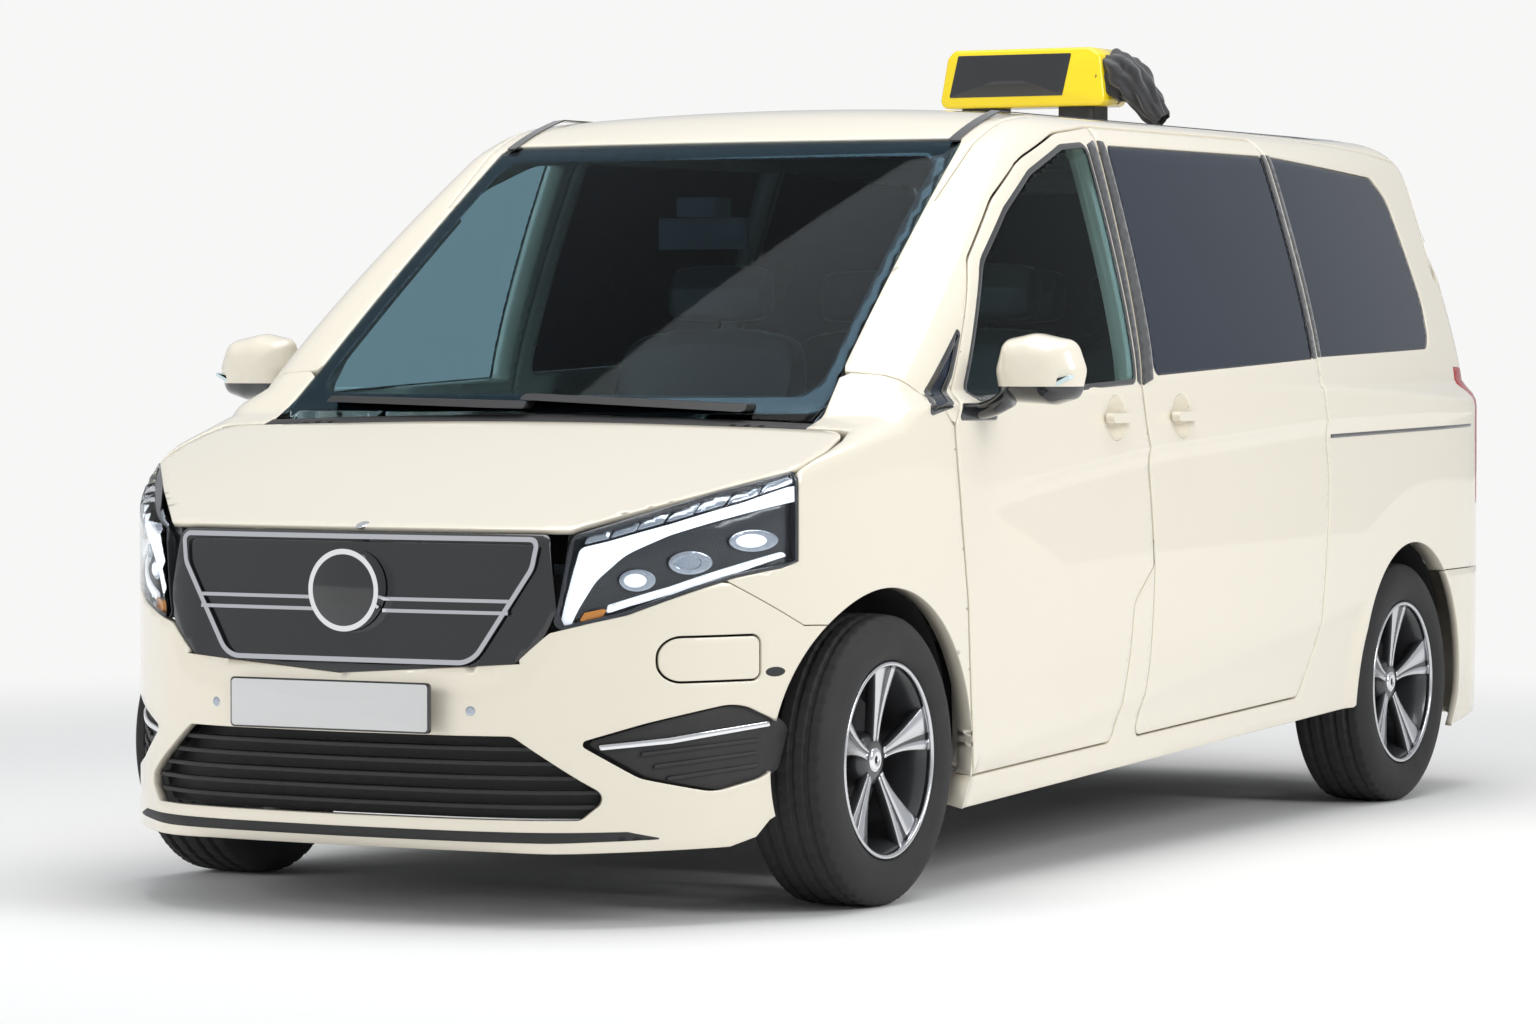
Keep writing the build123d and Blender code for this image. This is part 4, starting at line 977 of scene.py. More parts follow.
def rings(stations):
    """A shell through rings of points, each ring joined to the next, with a fan over both ends."""
    stations = np.asarray(stations, float)
    count, around = stations.shape[:2]
    row = np.arange(count - 1)[:, None] * around
    step = np.arange(around)[None]
    turn = (step + 1) % around
    quads = np.stack([row + step, row + turn, row + around + turn, row + around + step], -1).reshape(-1, 4)
    far = (count - 1) * around
    start = np.stack([turn[0], step[0], np.full(around, count * around)], 1)
    end = np.stack([far + step[0], far + turn[0], np.full(around, count * around + 1)], 1)
    points = np.concatenate([stations.reshape(-1, 3), stations[0].mean(0)[None], stations[-1].mean(0)[None]])
    return points, [quads, np.concatenate([start, end])]


def lathe(profile, centre, side, turns, wave=None):
    """A shell of revolution about a wheel's axle line. Profile rows are (radius, offset outwards);
    wave gives a change of radius from the step around, the radius and the offset."""
    profile = np.asarray(profile, float)
    step = np.arange(turns)[:, None]
    angle = step * 2 * math.pi / turns
    radius = profile[None, :, 0] + 0 * angle
    if wave:
        radius = radius + wave(step, profile[None, :, 0], profile[None, :, 1])
    offset = side * profile[None, :, 1] + 0 * angle
    points = np.stack([centre[0] + offset, centre[1] + radius * np.cos(angle),
                       centre[2] + radius * np.sin(angle)], -1)
    around = len(profile)
    row = np.arange(turns)[:, None] * around
    following = ((np.arange(turns) + 1) % turns)[:, None] * around
    a = np.arange(around)[None]
    b = (a + 1) % around
    quads = np.stack([row + a, row + b, following + b, following + a], -1).reshape(-1, 4)
    return points.reshape(-1, 3), [quads]


def slab(loop, start, end, bevel, axis=1):
    """A plate: an outline in the two other axes, extruded along one axis with bevelled edges."""
    rows = []
    for level, inset in ((start, bevel), (start + bevel * 0.3, bevel * 0.3), (start + bevel, 0.0),
                         (end - bevel, 0.0), (end - bevel * 0.3, bevel * 0.3), (end, bevel)):
        flat = grow(loop, -inset)
        rows.append(np.insert(flat, axis, level, axis=1))
    return rings(rows)


def box_loop(u0, u1, v0, v1, radius=0.01):
    """A rectangle with rounded corners."""
    return rounded([(u0, v0), (u1, v0), (u1, v1), (u0, v1)], radius)


# Tyres: sidewalls by powers of the distance from their widest ring, tread with grooves and sipes
HALF = TYRE_WIDTH / 2
TREAD = 0.087
GROOVES = (-0.058, -0.021, 0.021, 0.058)
GROOVE_DEPTH, GROOVE_HALF, GROOVE_SLOPE = 0.0075, 0.0062, 0.0018
BEAD = 0.2275
WIDEST = 0.272
CROWN_DROP = 0.004
SHOULDER = TYRE_RADIUS - CROWN_DROP
TYRE_STEPS = 240


def tyre_profile():
    """Closed (radius, offset) section of the tyre."""
    low = np.linspace(BEAD, WIDEST, 11)
    high = np.linspace(WIDEST, SHOULDER, 16)[1:]
    low_x = HALF - 0.016 * ((WIDEST - low) / (WIDEST - BEAD)) ** 2.6
    high_x = HALF - (HALF - TREAD) * ((high - WIDEST) / (SHOULDER - WIDEST)) ** 2.5
    low_x += 0.0016 * np.exp(-(((low - 0.2375) / 0.003) ** 2))
    wall = np.concatenate([np.stack([low, low_x], 1), np.stack([high, high_x], 1)])
    offset = np.linspace(TREAD, -TREAD, 67)[1:-1]
    radius = TYRE_RADIUS - CROWN_DROP * np.abs(offset / TREAD) ** 4
    for groove in GROOVES:
        radius -= GROOVE_DEPTH * np.clip((GROOVE_HALF - np.abs(offset - groove)) / GROOVE_SLOPE, 0, 1)
    tread = np.stack([radius, offset], 1)
    bead = np.stack([np.full(3, BEAD), np.array([-0.05, 0.0, 0.05])], 1)
    return np.concatenate([wall, tread, wall[::-1] * np.array([1, -1]), bead])


def sipes(step, radius, offset):
    """Narrow cross cuts in every fifth step of the tread, staggered between its ribs."""
    rib = np.floor((offset + TREAD) / 0.037).astype(int)
    cut = ((step + 2 * rib) % 5 == 0) & (radius > TYRE_RADIUS - 0.0045)
    shoulder = (step % 5 == 0) & (radius > 0.322) & (radius <= SHOULDER)
    return -0.0035 * cut - 0.0022 * shoulder


SPOKES = 5
HUB_REACH, RIM_REACH = 0.043, 0.2165


def blade(turn, low, high, lift, depth, centre, side):
    """A spoke blade: cross sections along the radius between two edges, on a front face that dishes
    outwards towards the rim. An edge is a share of the spoke's half width, as (at hub, growth)."""
    share = np.linspace(0, 1, 18)
    radius = HUB_REACH + (RIM_REACH - HUB_REACH) * share
    half = 0.0125 + 0.043 * share**1.75
    front = 0.0655 + 0.0245 * share**1.4 + lift
    a = (low[0] + low[1] * share) * half
    b = (high[0] + high[1] * share) * half
    edge = 0.0012
    across = np.stack([a, a + edge, b - edge, b, b, a], 1)
    offset = np.stack([front - edge, front, front, front - edge, front - depth, front - depth], 1)
    radius = radius[:, None] + 0 * across
    sin, cos = math.sin(turn), math.cos(turn)
    return rings(np.stack([centre[0] + side * offset,
                           centre[1] - side * (radius * sin + across * cos),
                           centre[2] + radius * cos - across * sin], -1))


# Sections of the wheel parts, as (radius, offset outwards)
BARREL = [(0.2262, 0.0960), (0.2262, -0.1000), (0.2150, -0.1000), (0.2040, -0.0600), (0.1990, 0.0200),
          (0.2040, 0.0620), (0.2140, 0.0860)]
HUB = [(0.0005, 0.0620), (0.0400, 0.0620), (0.0560, 0.0560), (0.0640, 0.0420), (0.0660, 0.0000),
       (0.0005, 0.0000)]
RIM_LIP = [(0.2262, 0.0900), (0.2262, 0.1000), (0.2240, 0.1022), (0.2185, 0.1022), (0.2160, 0.1000),
           (0.2140, 0.0890)]
CAP = [(0.0005, 0.0690), (0.0200, 0.0688), (0.0275, 0.0670), (0.0300, 0.0630), (0.0300, 0.0600),
       (0.0005, 0.0600)]
DISC = [(0.1500, -0.0320), (0.1500, -0.0080), (0.0830, -0.0070), (0.0800, 0.0000), (0.0005, 0.0000),
        (0.0005, -0.0320)]
SPOKE_TURN = 0.03
BACK_EDGES = ((-1.03, 0.0), (1.03, 0.0))
FACE_EDGES = (((-0.08, -0.16), (1.0, 0.0)), ((-1.0, 0.0), (-0.38, -0.12)))


def wheel_parts(axle, name, centre, side):
    """Tyre, rim, cap and brake disc of one wheel."""
    wheel = f"wheel_{axle}_{name}"
    tyre = shell(f"tread_{axle}_{name}", [lathe(tyre_profile(), centre, side, TYRE_STEPS, sipes)])
    finish(tyre, RUBBER, wheel, "tyre", f"tyre_{axle}_{name}")
    turns = [2 * math.pi * k / SPOKES - SPOKE_TURN for k in range(SPOKES)]
    backs = [blade(turn, *BACK_EDGES, -0.0016, 0.024, centre, side) for turn in turns]
    dark = shell(f"rim_body_{axle}_{name}", [lathe(BARREL, centre, side, 160),
                                             lathe(HUB, centre, side, 64), *backs])
    finish(dark, DARK_ALLOY, wheel, "rim", f"rim_{axle}_{name}")
    faces = [blade(turn, *edges, 0.0, 0.003, centre, side) for turn in turns for edges in FACE_EDGES]
    bright = shell(f"rim_faces_{axle}_{name}", [lathe(RIM_LIP, centre, side, 160), *faces])
    finish(bright, ALLOY, wheel, "rim")
    finish(shell(f"rim_cap_{axle}_{name}", [lathe(CAP, centre, side, 64)]), CHROME, wheel, "rim")
    finish(shell(f"brake_disc_{axle}_{name}", [lathe(DISC, centre, side, 96)]), STEEL, wheel, "rim")


for axle, y, track in (("front", FRONT_AXLE, TRACK_FRONT), ("rear", REAR_AXLE, TRACK_REAR)):
    for name, side in SIDES:
        wheel_parts(axle, name, (side * track / 2, y, TYRE_RADIUS), side)


# Lamps behind the lenses
LAMP_WHITE = material("lamp_light_guide", (0.90, 0.93, 0.97), 0.3, emission=((0.92, 0.96, 1.0), 0.55),
                      bump=(200, 0.03, 0.0003))
REFLECTOR = material("lamp_reflector", (0.50, 0.55, 0.62), 0.22, metal=0.9, fleck=(60, 0.10),
                     bump=(90, 0.25, 0.0015))
AMBER = material("amber_lens", (0.85, 0.30, 0.015), 0.15, coat=1.0, bump=(300, 0.2, 0.0006))
TEAL = material("indicator_lens", (0.62, 0.78, 0.80), 0.12, coat=1.0, bump=(300, 0.1, 0.0004))
MIRROR = material("mirror_glass", (0.80, 0.82, 0.84), 0.02, metal=1.0, fleck=(5, 0.01))
GUIDE = rounded([(0.514, 0.670), (0.530, 0.750), (0.550, 0.838), (0.600, 0.852), (0.700, 0.889),
                 (0.800, 0.934), (0.858, 0.970), (0.884, 0.962), (0.870, 0.938), (0.800, 0.908),
                 (0.700, 0.864), (0.630, 0.822), (0.580, 0.765), (0.550, 0.705), (0.536, 0.672)],
                [0.006, 0.05, 0.02, 0.05, 0.1, 0.1, 0.02, 0.01, 0.03, 0.1, 0.1, 0.1, 0.1, 0.05, 0.004])
LOWER_LINE = rounded([(0.596, 0.694), (0.700, 0.734), (0.800, 0.783), (0.850, 0.812), (0.846, 0.822),
                      (0.795, 0.797), (0.700, 0.751), (0.600, 0.712)], 0.003)
TURN_LAMP = rounded([(0.548, 0.674), (0.592, 0.688), (0.600, 0.706), (0.560, 0.696)], 0.004)
TOP_LINE = np.array([(0.556, 0.872), (0.600, 0.888), (0.700, 0.927), (0.800, 0.969), (0.858, 0.992)])
GUIDE_LINE = np.array([(0.556, 0.846), (0.600, 0.859), (0.700, 0.897), (0.800, 0.941), (0.858, 0.974)])
SEGMENTS = 7
LAMP_UNITS = ((0.640, 0.765, 0.030), (0.722, 0.802, 0.032), (0.806, 0.848, 0.030))


def between(line, share):
    """Points at shares of a polyline's length."""
    length = np.concatenate([[0], np.cumsum(np.linalg.norm(np.diff(line, axis=0), axis=1))])
    return np.stack([np.interp(share * length[-1], length, line[:, k]) for k in (0, 1)], 1)


def headlamp(name, sign):
    """Bowl, wall, light guides, segments and units of one headlamp."""
    def in_lamp(title, flat, look, sink, thick, step=0.012):
        """A piece behind the lens, drawn in (x, z) and laid at a depth below the lens."""
        loop = place(mirrored(flat, sign), FromFront(), sink)
        piece = skin(f"{title}_{name}", [loop], Nose(), thick, step=step, sink=sink, edge=0.0012)
        return finish(piece, look, "car", "lamp_clear")

    bowl = skin(f"lamp_bowl_{name}", [lamp_loop(sign, -0.002)], Nose(), 0.008, sink=0.045)
    finish(bowl, LAMP_DARK, "car", "lamp_clear")
    wall = skin(f"lamp_wall_{name}", [lamp_loop(sign, -0.0008), lamp_loop(sign, -0.0085)], Nose(), 0.044,
                sink=0.0038, edge=0.001)
    finish(wall, LAMP_DARK, "car", "lamp_clear")
    in_lamp("lamp_guide", GUIDE, LAMP_WHITE, 0.012, 0.012)
    in_lamp("lamp_line", LOWER_LINE, LAMP_WHITE, 0.014, 0.008)
    in_lamp("turn_lamp", TURN_LAMP, AMBER, 0.012, 0.010)
    for index in range(SEGMENTS):
        span = np.linspace(index + 0.04, index + 0.96, 6) / SEGMENTS
        flat = np.concatenate([between(GUIDE_LINE, span), between(TOP_LINE, span)[::-1]])
        in_lamp(f"lamp_segment_{index}", flat, REFLECTOR, 0.012 + 0.002 * (index % 2), 0.014)
    for index, (x, z, size) in enumerate(LAMP_UNITS):
        turn = np.linspace(0, 2 * math.pi, 40, endpoint=False)
        ring = np.stack([x + size * np.cos(turn), z + size * 0.82 * np.sin(turn)], 1)
        in_lamp(f"lamp_unit_{index}", ring, REFLECTOR, 0.030, 0.010, 0.008)
        pupil = np.stack([x + size * 0.62 * np.cos(turn), z + size * 0.5 * np.sin(turn)], 1)
        in_lamp(f"lamp_eye_{index}", pupil, LENS if index == 1 else LAMP_WHITE, 0.024, 0.005, 0.006)


for name, sign in SIDES:
    headlamp(name, sign)


# Openings of the bumper: slats behind the rim of each intake
def intake_half(z):
    """Half width of the lower intake at a height."""
    return np.interp(z, [0.240, 0.290, 0.425], [0.556, 0.606, 0.425])


BAR_SINK = 0.016
for index, z in enumerate((0.268, 0.300, 0.332, 0.364, 0.396)):
    half = float(intake_half(z)) - 0.006
    loop = place(box_loop(-half, half, z - 0.005, z + 0.005, 0.004), FromFront(), BAR_SINK)
    bar = skin(f"intake_bar_{index}", [loop], FromFront(), 0.018, step=0.03, sink=BAR_SINK, edge=0.002)
    finish(bar, GRAIN, "car", "black_plastic")
for name, sign in SIDES:
    strip = rounded([(0.585, 0.405), (0.700, 0.418), (0.832, 0.446), (0.834, 0.434), (0.704, 0.405),
                     (0.588, 0.393)], 0.003)
    blade_loop = place(mirrored(strip, sign), FromFront(), 0.010)
    strip = skin(f"intake_blade_{name}", [blade_loop], Nose(), 0.010, sink=0.010, edge=0.0015)
    finish(strip, CHROME, "car", "black_gloss")
    for index, low in enumerate((0.322, 0.350, 0.378)):
        inner_end = 0.655 + 0.020 * (2 - index)
        slat = rounded([(inner_end, low), (0.818, low + 0.022), (0.820, low + 0.031),
                        (inner_end, low + 0.009)], 0.002)
        loop = place(mirrored(slat, sign), FromFront(), 0.014)
        piece = skin(f"intake_slat_{name}_{index}", [loop], Nose(), 0.009, sink=0.014, edge=0.0015)
        finish(piece, GRAIN, "car", "black_plastic")


# Dark lip under the lower intake
LIP = rounded([(-0.640, 0.214), (0.640, 0.214), (0.700, 0.196), (0.500, 0.190), (-0.500, 0.190),
               (-0.700, 0.196)],
              [0.006, 0.006, 0.002, 0.02, 0.02, 0.002])
strip = skin("lip_strip", [place(LIP, FromFront())], FromFront(), TRIM_THICK, sink=-STRIP_RISE, edge=0.001)
finish(strip, GRAIN, "car", "black_plastic")


# Plates: blank faces in dark holders
PLATE_FRONT = -TAIL - 0.013
finish(shell("plate_holder", [slab(box_loop(-0.262, 0.262, 0.430, 0.542, 0.010), PLATE_FRONT + 0.0020,
                                   -TAIL - 0.0003, 0.0020)]), PIANO, "car", "plate", "front_plate")
finish(shell("plate_face", [slab(box_loop(-0.257, 0.257, 0.434, 0.538, 0.008), PLATE_FRONT,
                                 PLATE_FRONT + 0.0025, 0.0008)]), PLATE, "car", "plate")
finish(shell("plate_rear_face", [slab(box_loop(-0.257, 0.257, 0.935, 1.037, 0.008), TAIL - 0.0462,
                                      TAIL - 0.0435, 0.0008)]), PLATE, "tailgate", "plate")


# Door mirrors: a domed shell with a dark foot, its glass and arm
MIRROR_FACE = rounded([(0.992, 1.150), (1.130, 1.142), (1.190, 1.160), (1.205, 1.225), (1.180, 1.292),
                       (1.080, 1.312), (1.000, 1.296), (0.980, 1.225)],
                      [0.02, 0.03, 0.03, 0.04, 0.04, 0.06, 0.03, 0.04], 0.008)
MIRROR_SEAM = 1.186
MIRROR_FRONT, MIRROR_BACK = FRONT_AXLE + 0.392, FRONT_AXLE + 0.481
for name, sign in SIDES:
    face = mirrored(MIRROR_FACE, sign)
    middle = face.mean(0)
    front, back = MIRROR_FRONT, MIRROR_BACK
    share = np.sin(np.linspace(0.04, 1, 14) * math.pi / 2)
    rows = []
    for depth in share:
        scale = (1 - (1 - depth) ** 2.4) ** 0.42
        rows.append(np.insert(middle + (face - middle) * scale, 1, front + (back - front) * depth, axis=1))
    rows.append(np.insert(middle + (face - middle) * 0.965, 1, back + 0.001, axis=1))
    housing = shell(f"mirror_shell_{name}", [rings(rows)])
    finish(housing, IVORY, f"door_{name}", "body_paint", f"mirror_{name}")
    housing.data.materials.append(PIANO)
    cut = bmesh.new()
    cut.from_mesh(housing.data)
    bmesh.ops.bisect_plane(cut, geom=cut.verts[:] + cut.edges[:] + cut.faces[:],
                           plane_co=(0, 0, MIRROR_SEAM), plane_no=(0, 0, 1))
    cut.to_mesh(housing.data)
    cut.free()
    middles = np.empty(len(housing.data.polygons) * 3)
    housing.data.polygons.foreach_get("center", middles)
    housing.data.polygons.foreach_set("material_index", (middles[2::3] < MIRROR_SEAM).astype(np.int32))
    glass_loop = middle + (face - middle) * 0.90
    glass = shell(f"mirror_face_{name}", [slab(glass_loop, back - 0.002, back + 0.0015, 0.0006)])
    finish(glass, MIRROR, f"door_{name}", "clear_glass")
    turn = np.linspace(0, 2 * math.pi, 32, endpoint=False)
    arm = []
    for t in np.linspace(0, 1, 12):
        x, y, z = 0.938 + 0.095 * t, FRONT_AXLE + 0.440 - 0.004 * t, 1.128 + 0.042 * t * t
        arm.append(np.stack([np.full(32, sign * x), y + (0.030 + 0.004 * t) * np.cos(turn),
                             z + (0.020 + 0.012 * t * t) * np.sin(turn)], 1))
    finish(shell(f"mirror_arm_{name}", [rings(arm)]), PIANO, f"door_{name}", "black_gloss")
    strip = mirrored(rounded([(1.030, 1.188), (1.150, 1.182), (1.192, 1.205), (1.192, 1.214),
                              (1.148, 1.193), (1.030, 1.199)], 0.003, 0.006), sign)
    level = front + 0.030
    turn_light = shell(f"mirror_lamp_{name}", [slab(strip, level - 0.014, level + 0.02, 0.001)])
    finish(turn_light, TEAL, f"door_{name}", "lamp_clear")
    base = place(rounded(at_front([(0.330, 1.105), (0.540, 1.105), (0.510, 1.148), (0.352, 1.148)]), 0.01),
                 FromSide(sign))
    finish(skin(f"mirror_base_{name}", [base], Side(sign), 0.004, sink=-0.002), PIANO, f"door_{name}",
           "black_gloss")


# Roof sign with a blank panel, its feet and the cover bunched over its end
SIGN_Y = MIDDLE + 1.125
SIGN_LOW, SIGN_HIGH = ROOF + 0.054, ROOF + 0.217
sign_loop = rounded([(-0.262, SIGN_LOW), (0.252, SIGN_LOW), (0.236, SIGN_HIGH - 0.020), (0.205, SIGN_HIGH),
                     (-0.215, SIGN_HIGH), (-0.236, SIGN_HIGH - 0.022)],
                    [0.022, 0.022, 0.02, 0.03, 0.03, 0.02], 0.006)
finish(shell("sign_body", [slab(sign_loop, SIGN_Y - 0.078, SIGN_Y + 0.078, 0.009)]), YELLOW, "car",
       "sign_yellow", "roof_sign")
panel = rounded([(-0.228, SIGN_LOW + 0.030), (0.122, SIGN_LOW + 0.030), (0.150, SIGN_HIGH - 0.016),
                 (-0.200, SIGN_HIGH - 0.016)], 0.004)
for title, y0, y1 in (("sign_panel_front", SIGN_Y - 0.0795, SIGN_Y - 0.0765),
                      ("sign_panel_rear", SIGN_Y + 0.0765, SIGN_Y + 0.0795)):
    finish(shell(title, [slab(panel, y0, y1, 0.0006)]), PIANO, "car", "sign_yellow")


# The sign's cover: a bag of cloth wrapped round a path, its radius waved into folds
CLOTH = material("cover_cloth", (0.012, 0.013, 0.016), 0.62, sheen=0.4, bump=(420, 0.5, 0.0008),
                 tint=(25, 0.6, (0.022, 0.024, 0.030)))
COVER_PATH = np.array([(0.225, SIGN_HIGH - 0.076), (0.262, SIGN_HIGH - 0.082), (0.300, SIGN_HIGH - 0.098),
                       (0.334, SIGN_LOW + 0.028), (0.362, SIGN_LOW - 0.012), (0.392, ROOF + 0.012)])
COVER_RADII = [0.064, 0.066, 0.056, 0.045, 0.036, 0.026]


def cover_cloth():
    """Rows along the path; around it the radius is 1 + waves of the angle, turned along the path."""
    rows, around = 90, 160
    share = np.linspace(0, 1, rows)[:, None]
    length = np.linspace(0, 1, len(COVER_PATH))
    x = np.interp(share, length, COVER_PATH[:, 0])
    z = np.interp(share, length, COVER_PATH[:, 1])
    radius = np.interp(share, length, COVER_RADII)
    angle = np.radians(np.linspace(-168, 168, around))[None]
    twist = angle + 1.6 * share
    fold = (1 + 0.10 * np.sin(6 * twist + 5 * share) + 0.06 * np.sin(11 * twist - 9 * share)
            + 0.045 * np.sin(26 * share + 3 * angle))
    slope = np.arctan2(np.gradient(z[:, 0]), np.gradient(x[:, 0]))[:, None]
    out = radius * fold * np.cos(angle)
    across = radius * 1.10 * fold * np.sin(angle) * (1 - 0.12 * share)
    px = x - out * np.sin(slope)
    pz = z + out * np.cos(slope)
    py = SIGN_Y + 0.004 * np.sin(9 * share) + across
    ground = ROOF + 0.010 - 0.070 * (px / 0.944) ** 2
    pz = np.maximum(pz, ground)
    return np.stack([px, py, pz], -1)


cloth = cover_cloth()
rows, around = cloth.shape[:2]
index = np.arange(rows * around).reshape(rows, around)
quads = np.stack([index[:-1, :-1], index[:-1, 1:], index[1:, 1:], index[1:, :-1]], -1).reshape(-1, 4)
cover = make_mesh("sign_cloth", cloth.reshape(-1, 3), quads.tolist())
thicken = cover.modifiers.new("thickness", "SOLIDIFY")
thicken.thickness = 0.0012
thicken.offset = 0
finish(cover, CLOTH, "car", "cover_cloth", "sign_cover")


# Badge places: plain discs
turn = np.linspace(0, 2 * math.pi, 96, endpoint=False)
disc_loop = np.stack([0.080 * np.cos(turn), 0.738 + 0.080 * np.sin(turn)], 1)
badge_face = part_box("grille_trim")[0][1]
finish(shell("grille_disc", [slab(disc_loop, badge_face - 0.0015, badge_face + 0.004, 0.001)]), PIANO, "car",
       "black_gloss")
hood_ring = np.stack([0.014 * np.cos(turn[::3]), FRONT_AXLE - 0.765 + 0.017 * np.sin(turn[::3])], 1)
hood_disc = skin("hood_disc", [place(hood_ring, FromTop())], FromTop(), 0.004, step=0.006, sink=-0.002,
                 edge=0.001)
finish(hood_disc, CHROME, "hood", "chrome")
for name, sign in SIDES:
    for title, x, z in (("inner", 0.335, 0.480), ("outer", 0.842, 0.556)):
        ring = np.stack([x + 0.011 * np.cos(turn[::4]), z + 0.011 * np.sin(turn[::4])], 1)
        spot = place(mirrored(ring, sign), FromFront())
        sensor = skin(f"sensor_{title}_{name}", [spot], Nose(), 0.003, step=0.005, sink=-0.0006, edge=0.0006)
        finish(sensor, REFLECTOR if title == "inner" else GRAIN, "car", "black_plastic")


# Seats: crowned forms with a seam line near each side
SEAT_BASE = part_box("front_seats")[0][2]
SEAT_RADII = [0.03, 0.05, 0.06, 0.06, 0.02, 0.03, 0.03, 0.06, 0.04]
SEAT_SIDE = [(0.000, 0.000), (-0.020, 0.130), (0.060, 0.165), (0.430, 0.140), (0.540, 0.650), (0.560, 0.690),
             (0.640, 0.690), (0.650, 0.620), (0.560, 0.000)]
SEAM = 0.62
SEAT_START, SEAT_END = [-0.999, -0.99, -0.97, -0.94], [0.94, 0.97, 0.99, 0.999]
HEAD_SIDE = [(0.560, 0.715), (0.556, 0.800), (0.590, 0.862), (0.655, 0.860), (0.668, 0.790), (0.650, 0.715)]


def crowned(title, x, y, width, side_loop, radii, crown):
    """A stuffed form: its side outline carried across the width and drawn in towards both ends as
    the fourth root of 1 - t^4, with a shallow seam groove."""
    flat = rounded(side_loop, radii, 0.02)
    middle = flat.mean(0)
    rows = []
    for t in np.concatenate([SEAT_START, np.linspace(-0.9, 0.9, 31), SEAT_END]):
        scale = 1 - crown * (1 - (1 - abs(t) ** 4) ** 0.25)
        scale -= 0.022 * math.exp(-(((abs(t) - SEAM) / 0.022) ** 2))
        scale += 0.012 * math.cos(t * math.pi / 1.24) * (abs(t) < SEAM)
        ring = middle + (flat - middle) * scale
        rows.append(np.insert(ring + np.array([y, SEAT_BASE]), 0, x + t * width / 2, axis=1))
    return shell(title, [rings(rows)])


seat_places = [("front_left", 0.390, FRONT_AXLE + 1.000, 0.520, "front_seats"),
               ("front_right", -0.390, FRONT_AXLE + 1.000, 0.520, "front_seats")]
for row, distance in (("middle", 1.990), ("back", 2.800)):
    for side, x in (("left", 0.450), ("centre", 0.0), ("right", -0.450)):
        seat_places.append((f"{row}_{side}", x, FRONT_AXLE + distance, 0.430, "rear_seats"))
for title, x, y, width, node in seat_places:
    seat = crowned(f"seat_{title}", x, y, width, SEAT_SIDE, SEAT_RADII, 0.30)
    finish(seat, LEATHER, "car", "seat_leather", node)
    rest = crowned(f"headrest_{title}", x, y, 0.28, HEAD_SIDE, 0.025, 0.45)
    finish(rest, LEATHER, "car", "seat_leather")


# Finishes of the solids that stay
STAYING = {
    IVORY: ("door_handle_left", "door_handle_right", "slider_handles"),
    GRAIN: ("wipers", "sign_feet", "underbody", "rear_view_mirror"),
    CABIN: ("dashboard", "steering_wheel", "seat_bases", "power_unit"),
    IRON: ("front_frame", "rear_suspension", "knuckle_left", "knuckle_right"),
    STEEL: ("battery_pack",),
    CHROME: ("grille_trim",),
    PIANO: ("roof_strips", "rear_plate"),
}
for look, names in STAYING.items():
    for node in names:
        restyle(node, look)


# Stage: pale floor that fades to the background, soft light from above and from the front left
BACKDROP = (0.93, 0.93, 0.925)
CAMERA_PLACE = (6.4308, -12.3447, 1.2845)
CAMERA_YAW, CAMERA_PITCH = math.radians(28.309), math.radians(1.808)
LENS_MM = 124.56
SENSOR_MM = 36.0
FLOOR_REACH = 40
FADE_START, FADE_END = 2.8, 7.5
WORLD_LIGHT = 0.58


def aim(holder, target):
    """Turn a light so that it looks at its target."""
    holder.rotation_euler = (Vector(target) - holder.location).to_track_quat("-Z", "Y").to_euler()


def lamp(name, location, target, size, energy, mirrored_in_gloss=True):
    """A square area light turned to its target, shown in glossy surfaces or not."""
    light = bpy.data.lights.new(name, "AREA")
    light.size = size
    light.energy = energy
    holder = bpy.data.objects.new(name, light)
    holder.location = location
    holder.visible_glossy = mirrored_in_gloss
    bpy.context.collection.objects.link(holder)
    aim(holder, target)


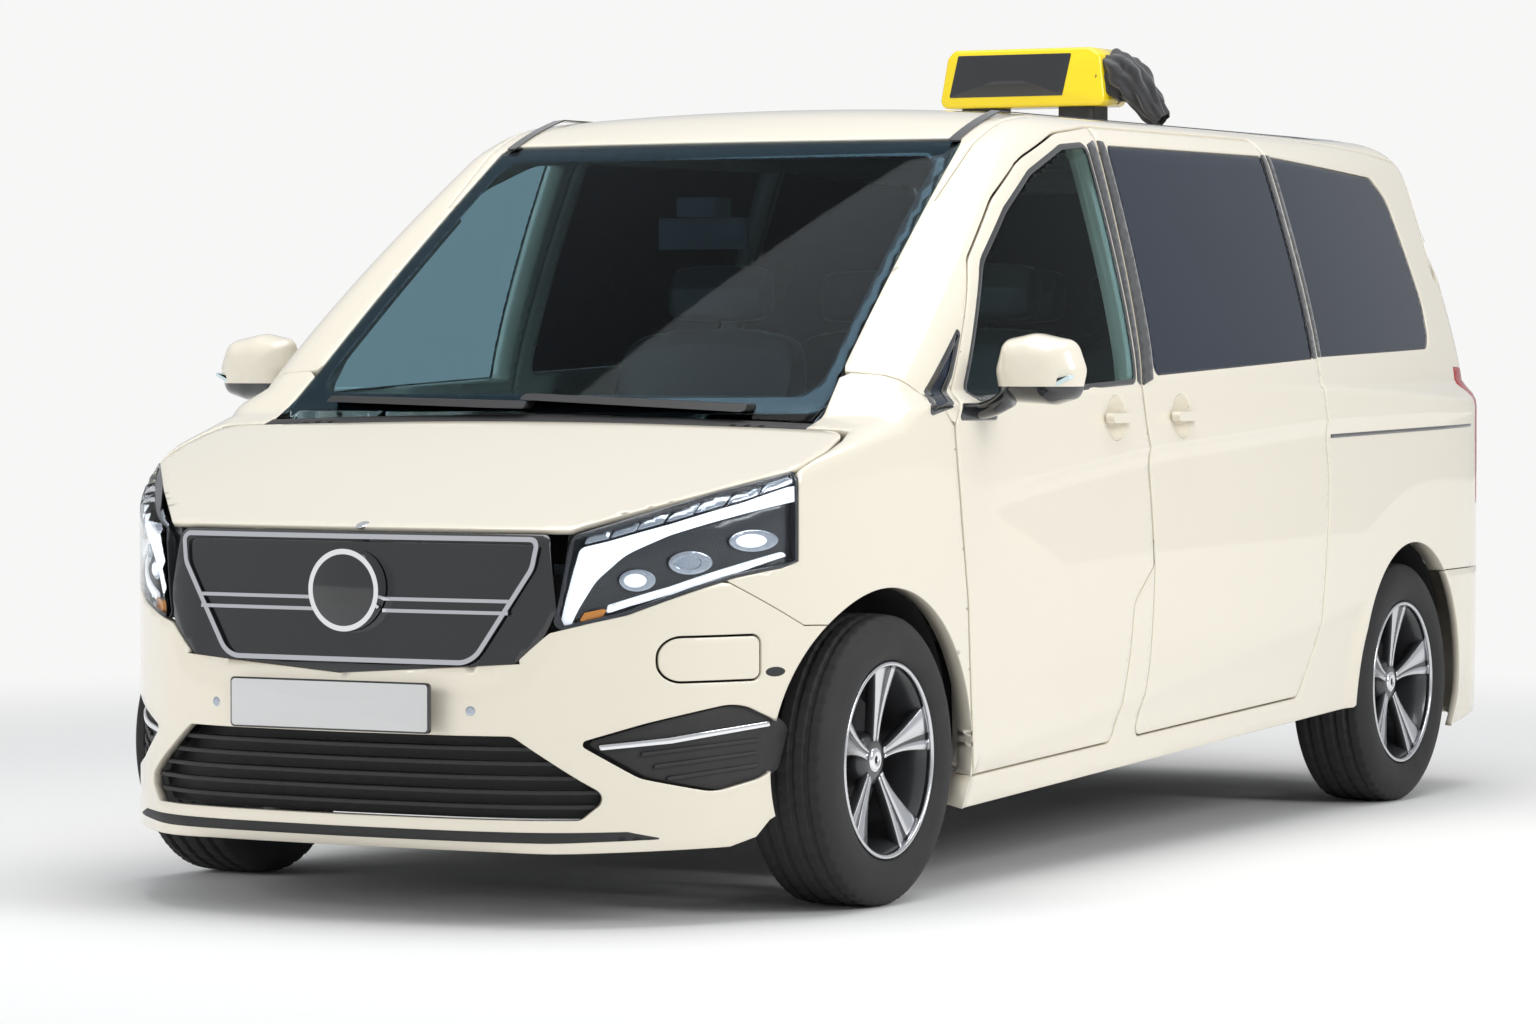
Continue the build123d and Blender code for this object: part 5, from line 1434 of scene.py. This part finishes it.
def floor_finish():
    """Pale floor whose colour goes over into the backdrop with the distance from the car."""
    made = bpy.data.materials.new("pale_floor")
    made.use_nodes = True
    tree = made.node_tree
    shader = tree.nodes["Principled BSDF"]
    shader.inputs["Base Color"].default_value = (0.86, 0.86, 0.855, 1)
    shader.inputs["Roughness"].default_value = 0.9
    shader.inputs["Specular IOR Level"].default_value = 0.1
    far = tree.nodes.new("ShaderNodeEmission")
    far.inputs["Color"].default_value = (*BACKDROP, 1)
    spot = tree.nodes.new("ShaderNodeTexCoord")
    reach = tree.nodes.new("ShaderNodeVectorMath")
    reach.operation = "LENGTH"
    share = tree.nodes.new("ShaderNodeMapRange")
    share.inputs["From Min"].default_value = FADE_START
    share.inputs["From Max"].default_value = FADE_END
    share.interpolation_type = "SMOOTHSTEP"
    mix = tree.nodes.new("ShaderNodeMixShader")
    tree.links.new(spot.outputs["Object"], reach.inputs[0])
    tree.links.new(reach.outputs["Value"], share.inputs["Value"])
    tree.links.new(share.outputs["Result"], mix.inputs["Fac"])
    tree.links.new(shader.outputs["BSDF"], mix.inputs[1])
    tree.links.new(far.outputs["Emission"], mix.inputs[2])
    tree.links.new(mix.outputs["Shader"], tree.nodes["Material Output"].inputs["Surface"])
    return made


def studio_world():
    """Backdrop tone for rays that show it, and a softer even light for all others."""
    world = bpy.data.worlds.new("studio")
    bpy.context.scene.world = world
    world.use_nodes = True
    tree = world.node_tree
    soft = tree.nodes["Background"]
    soft.inputs["Color"].default_value = (0.95, 0.97, 1.0, 1)
    soft.inputs["Strength"].default_value = WORLD_LIGHT
    shown = tree.nodes.new("ShaderNodeBackground")
    shown.inputs["Color"].default_value = (*BACKDROP, 1)
    rays = tree.nodes.new("ShaderNodeLightPath")
    mix = tree.nodes.new("ShaderNodeMixShader")
    tree.links.new(rays.outputs["Is Camera Ray"], mix.inputs["Fac"])
    tree.links.new(soft.outputs["Background"], mix.inputs[1])
    tree.links.new(shown.outputs["Background"], mix.inputs[2])
    tree.links.new(mix.outputs["Shader"], tree.nodes["World Output"].inputs["Surface"])


corners = [(FLOOR_REACH * x, FLOOR_REACH * y, 0) for x, y in ((-1, -1), (1, -1), (1, 1), (-1, 1))]
floor = make_mesh("floor", corners, [(0, 1, 2, 3)], smooth=False)
floor.data.materials.append(floor_finish())
studio_world()
lamp("overhead", (0.5, -0.5, 6.5), (0, 0, 0.5), 5.5, 270)
lamp("front_fill", (-4.5, -9.0, 3.2), (0, -1.5, 0.8), 3.5, 220, mirrored_in_gloss=False)
lamp("side_key", (8.0, -1.5, 4.2), (0.5, 0, 0.9), 3.0, 240)
view = bpy.data.cameras.new("view")
view.lens = LENS_MM
view.sensor_width = SENSOR_MM
camera = bpy.data.objects.new("view", view)
camera.location = CAMERA_PLACE
camera.rotation_euler = (math.pi / 2 - CAMERA_PITCH, 0, CAMERA_YAW)
bpy.context.collection.objects.link(camera)
bpy.context.scene.camera = camera
bpy.context.scene.view_settings.view_transform = "Standard"
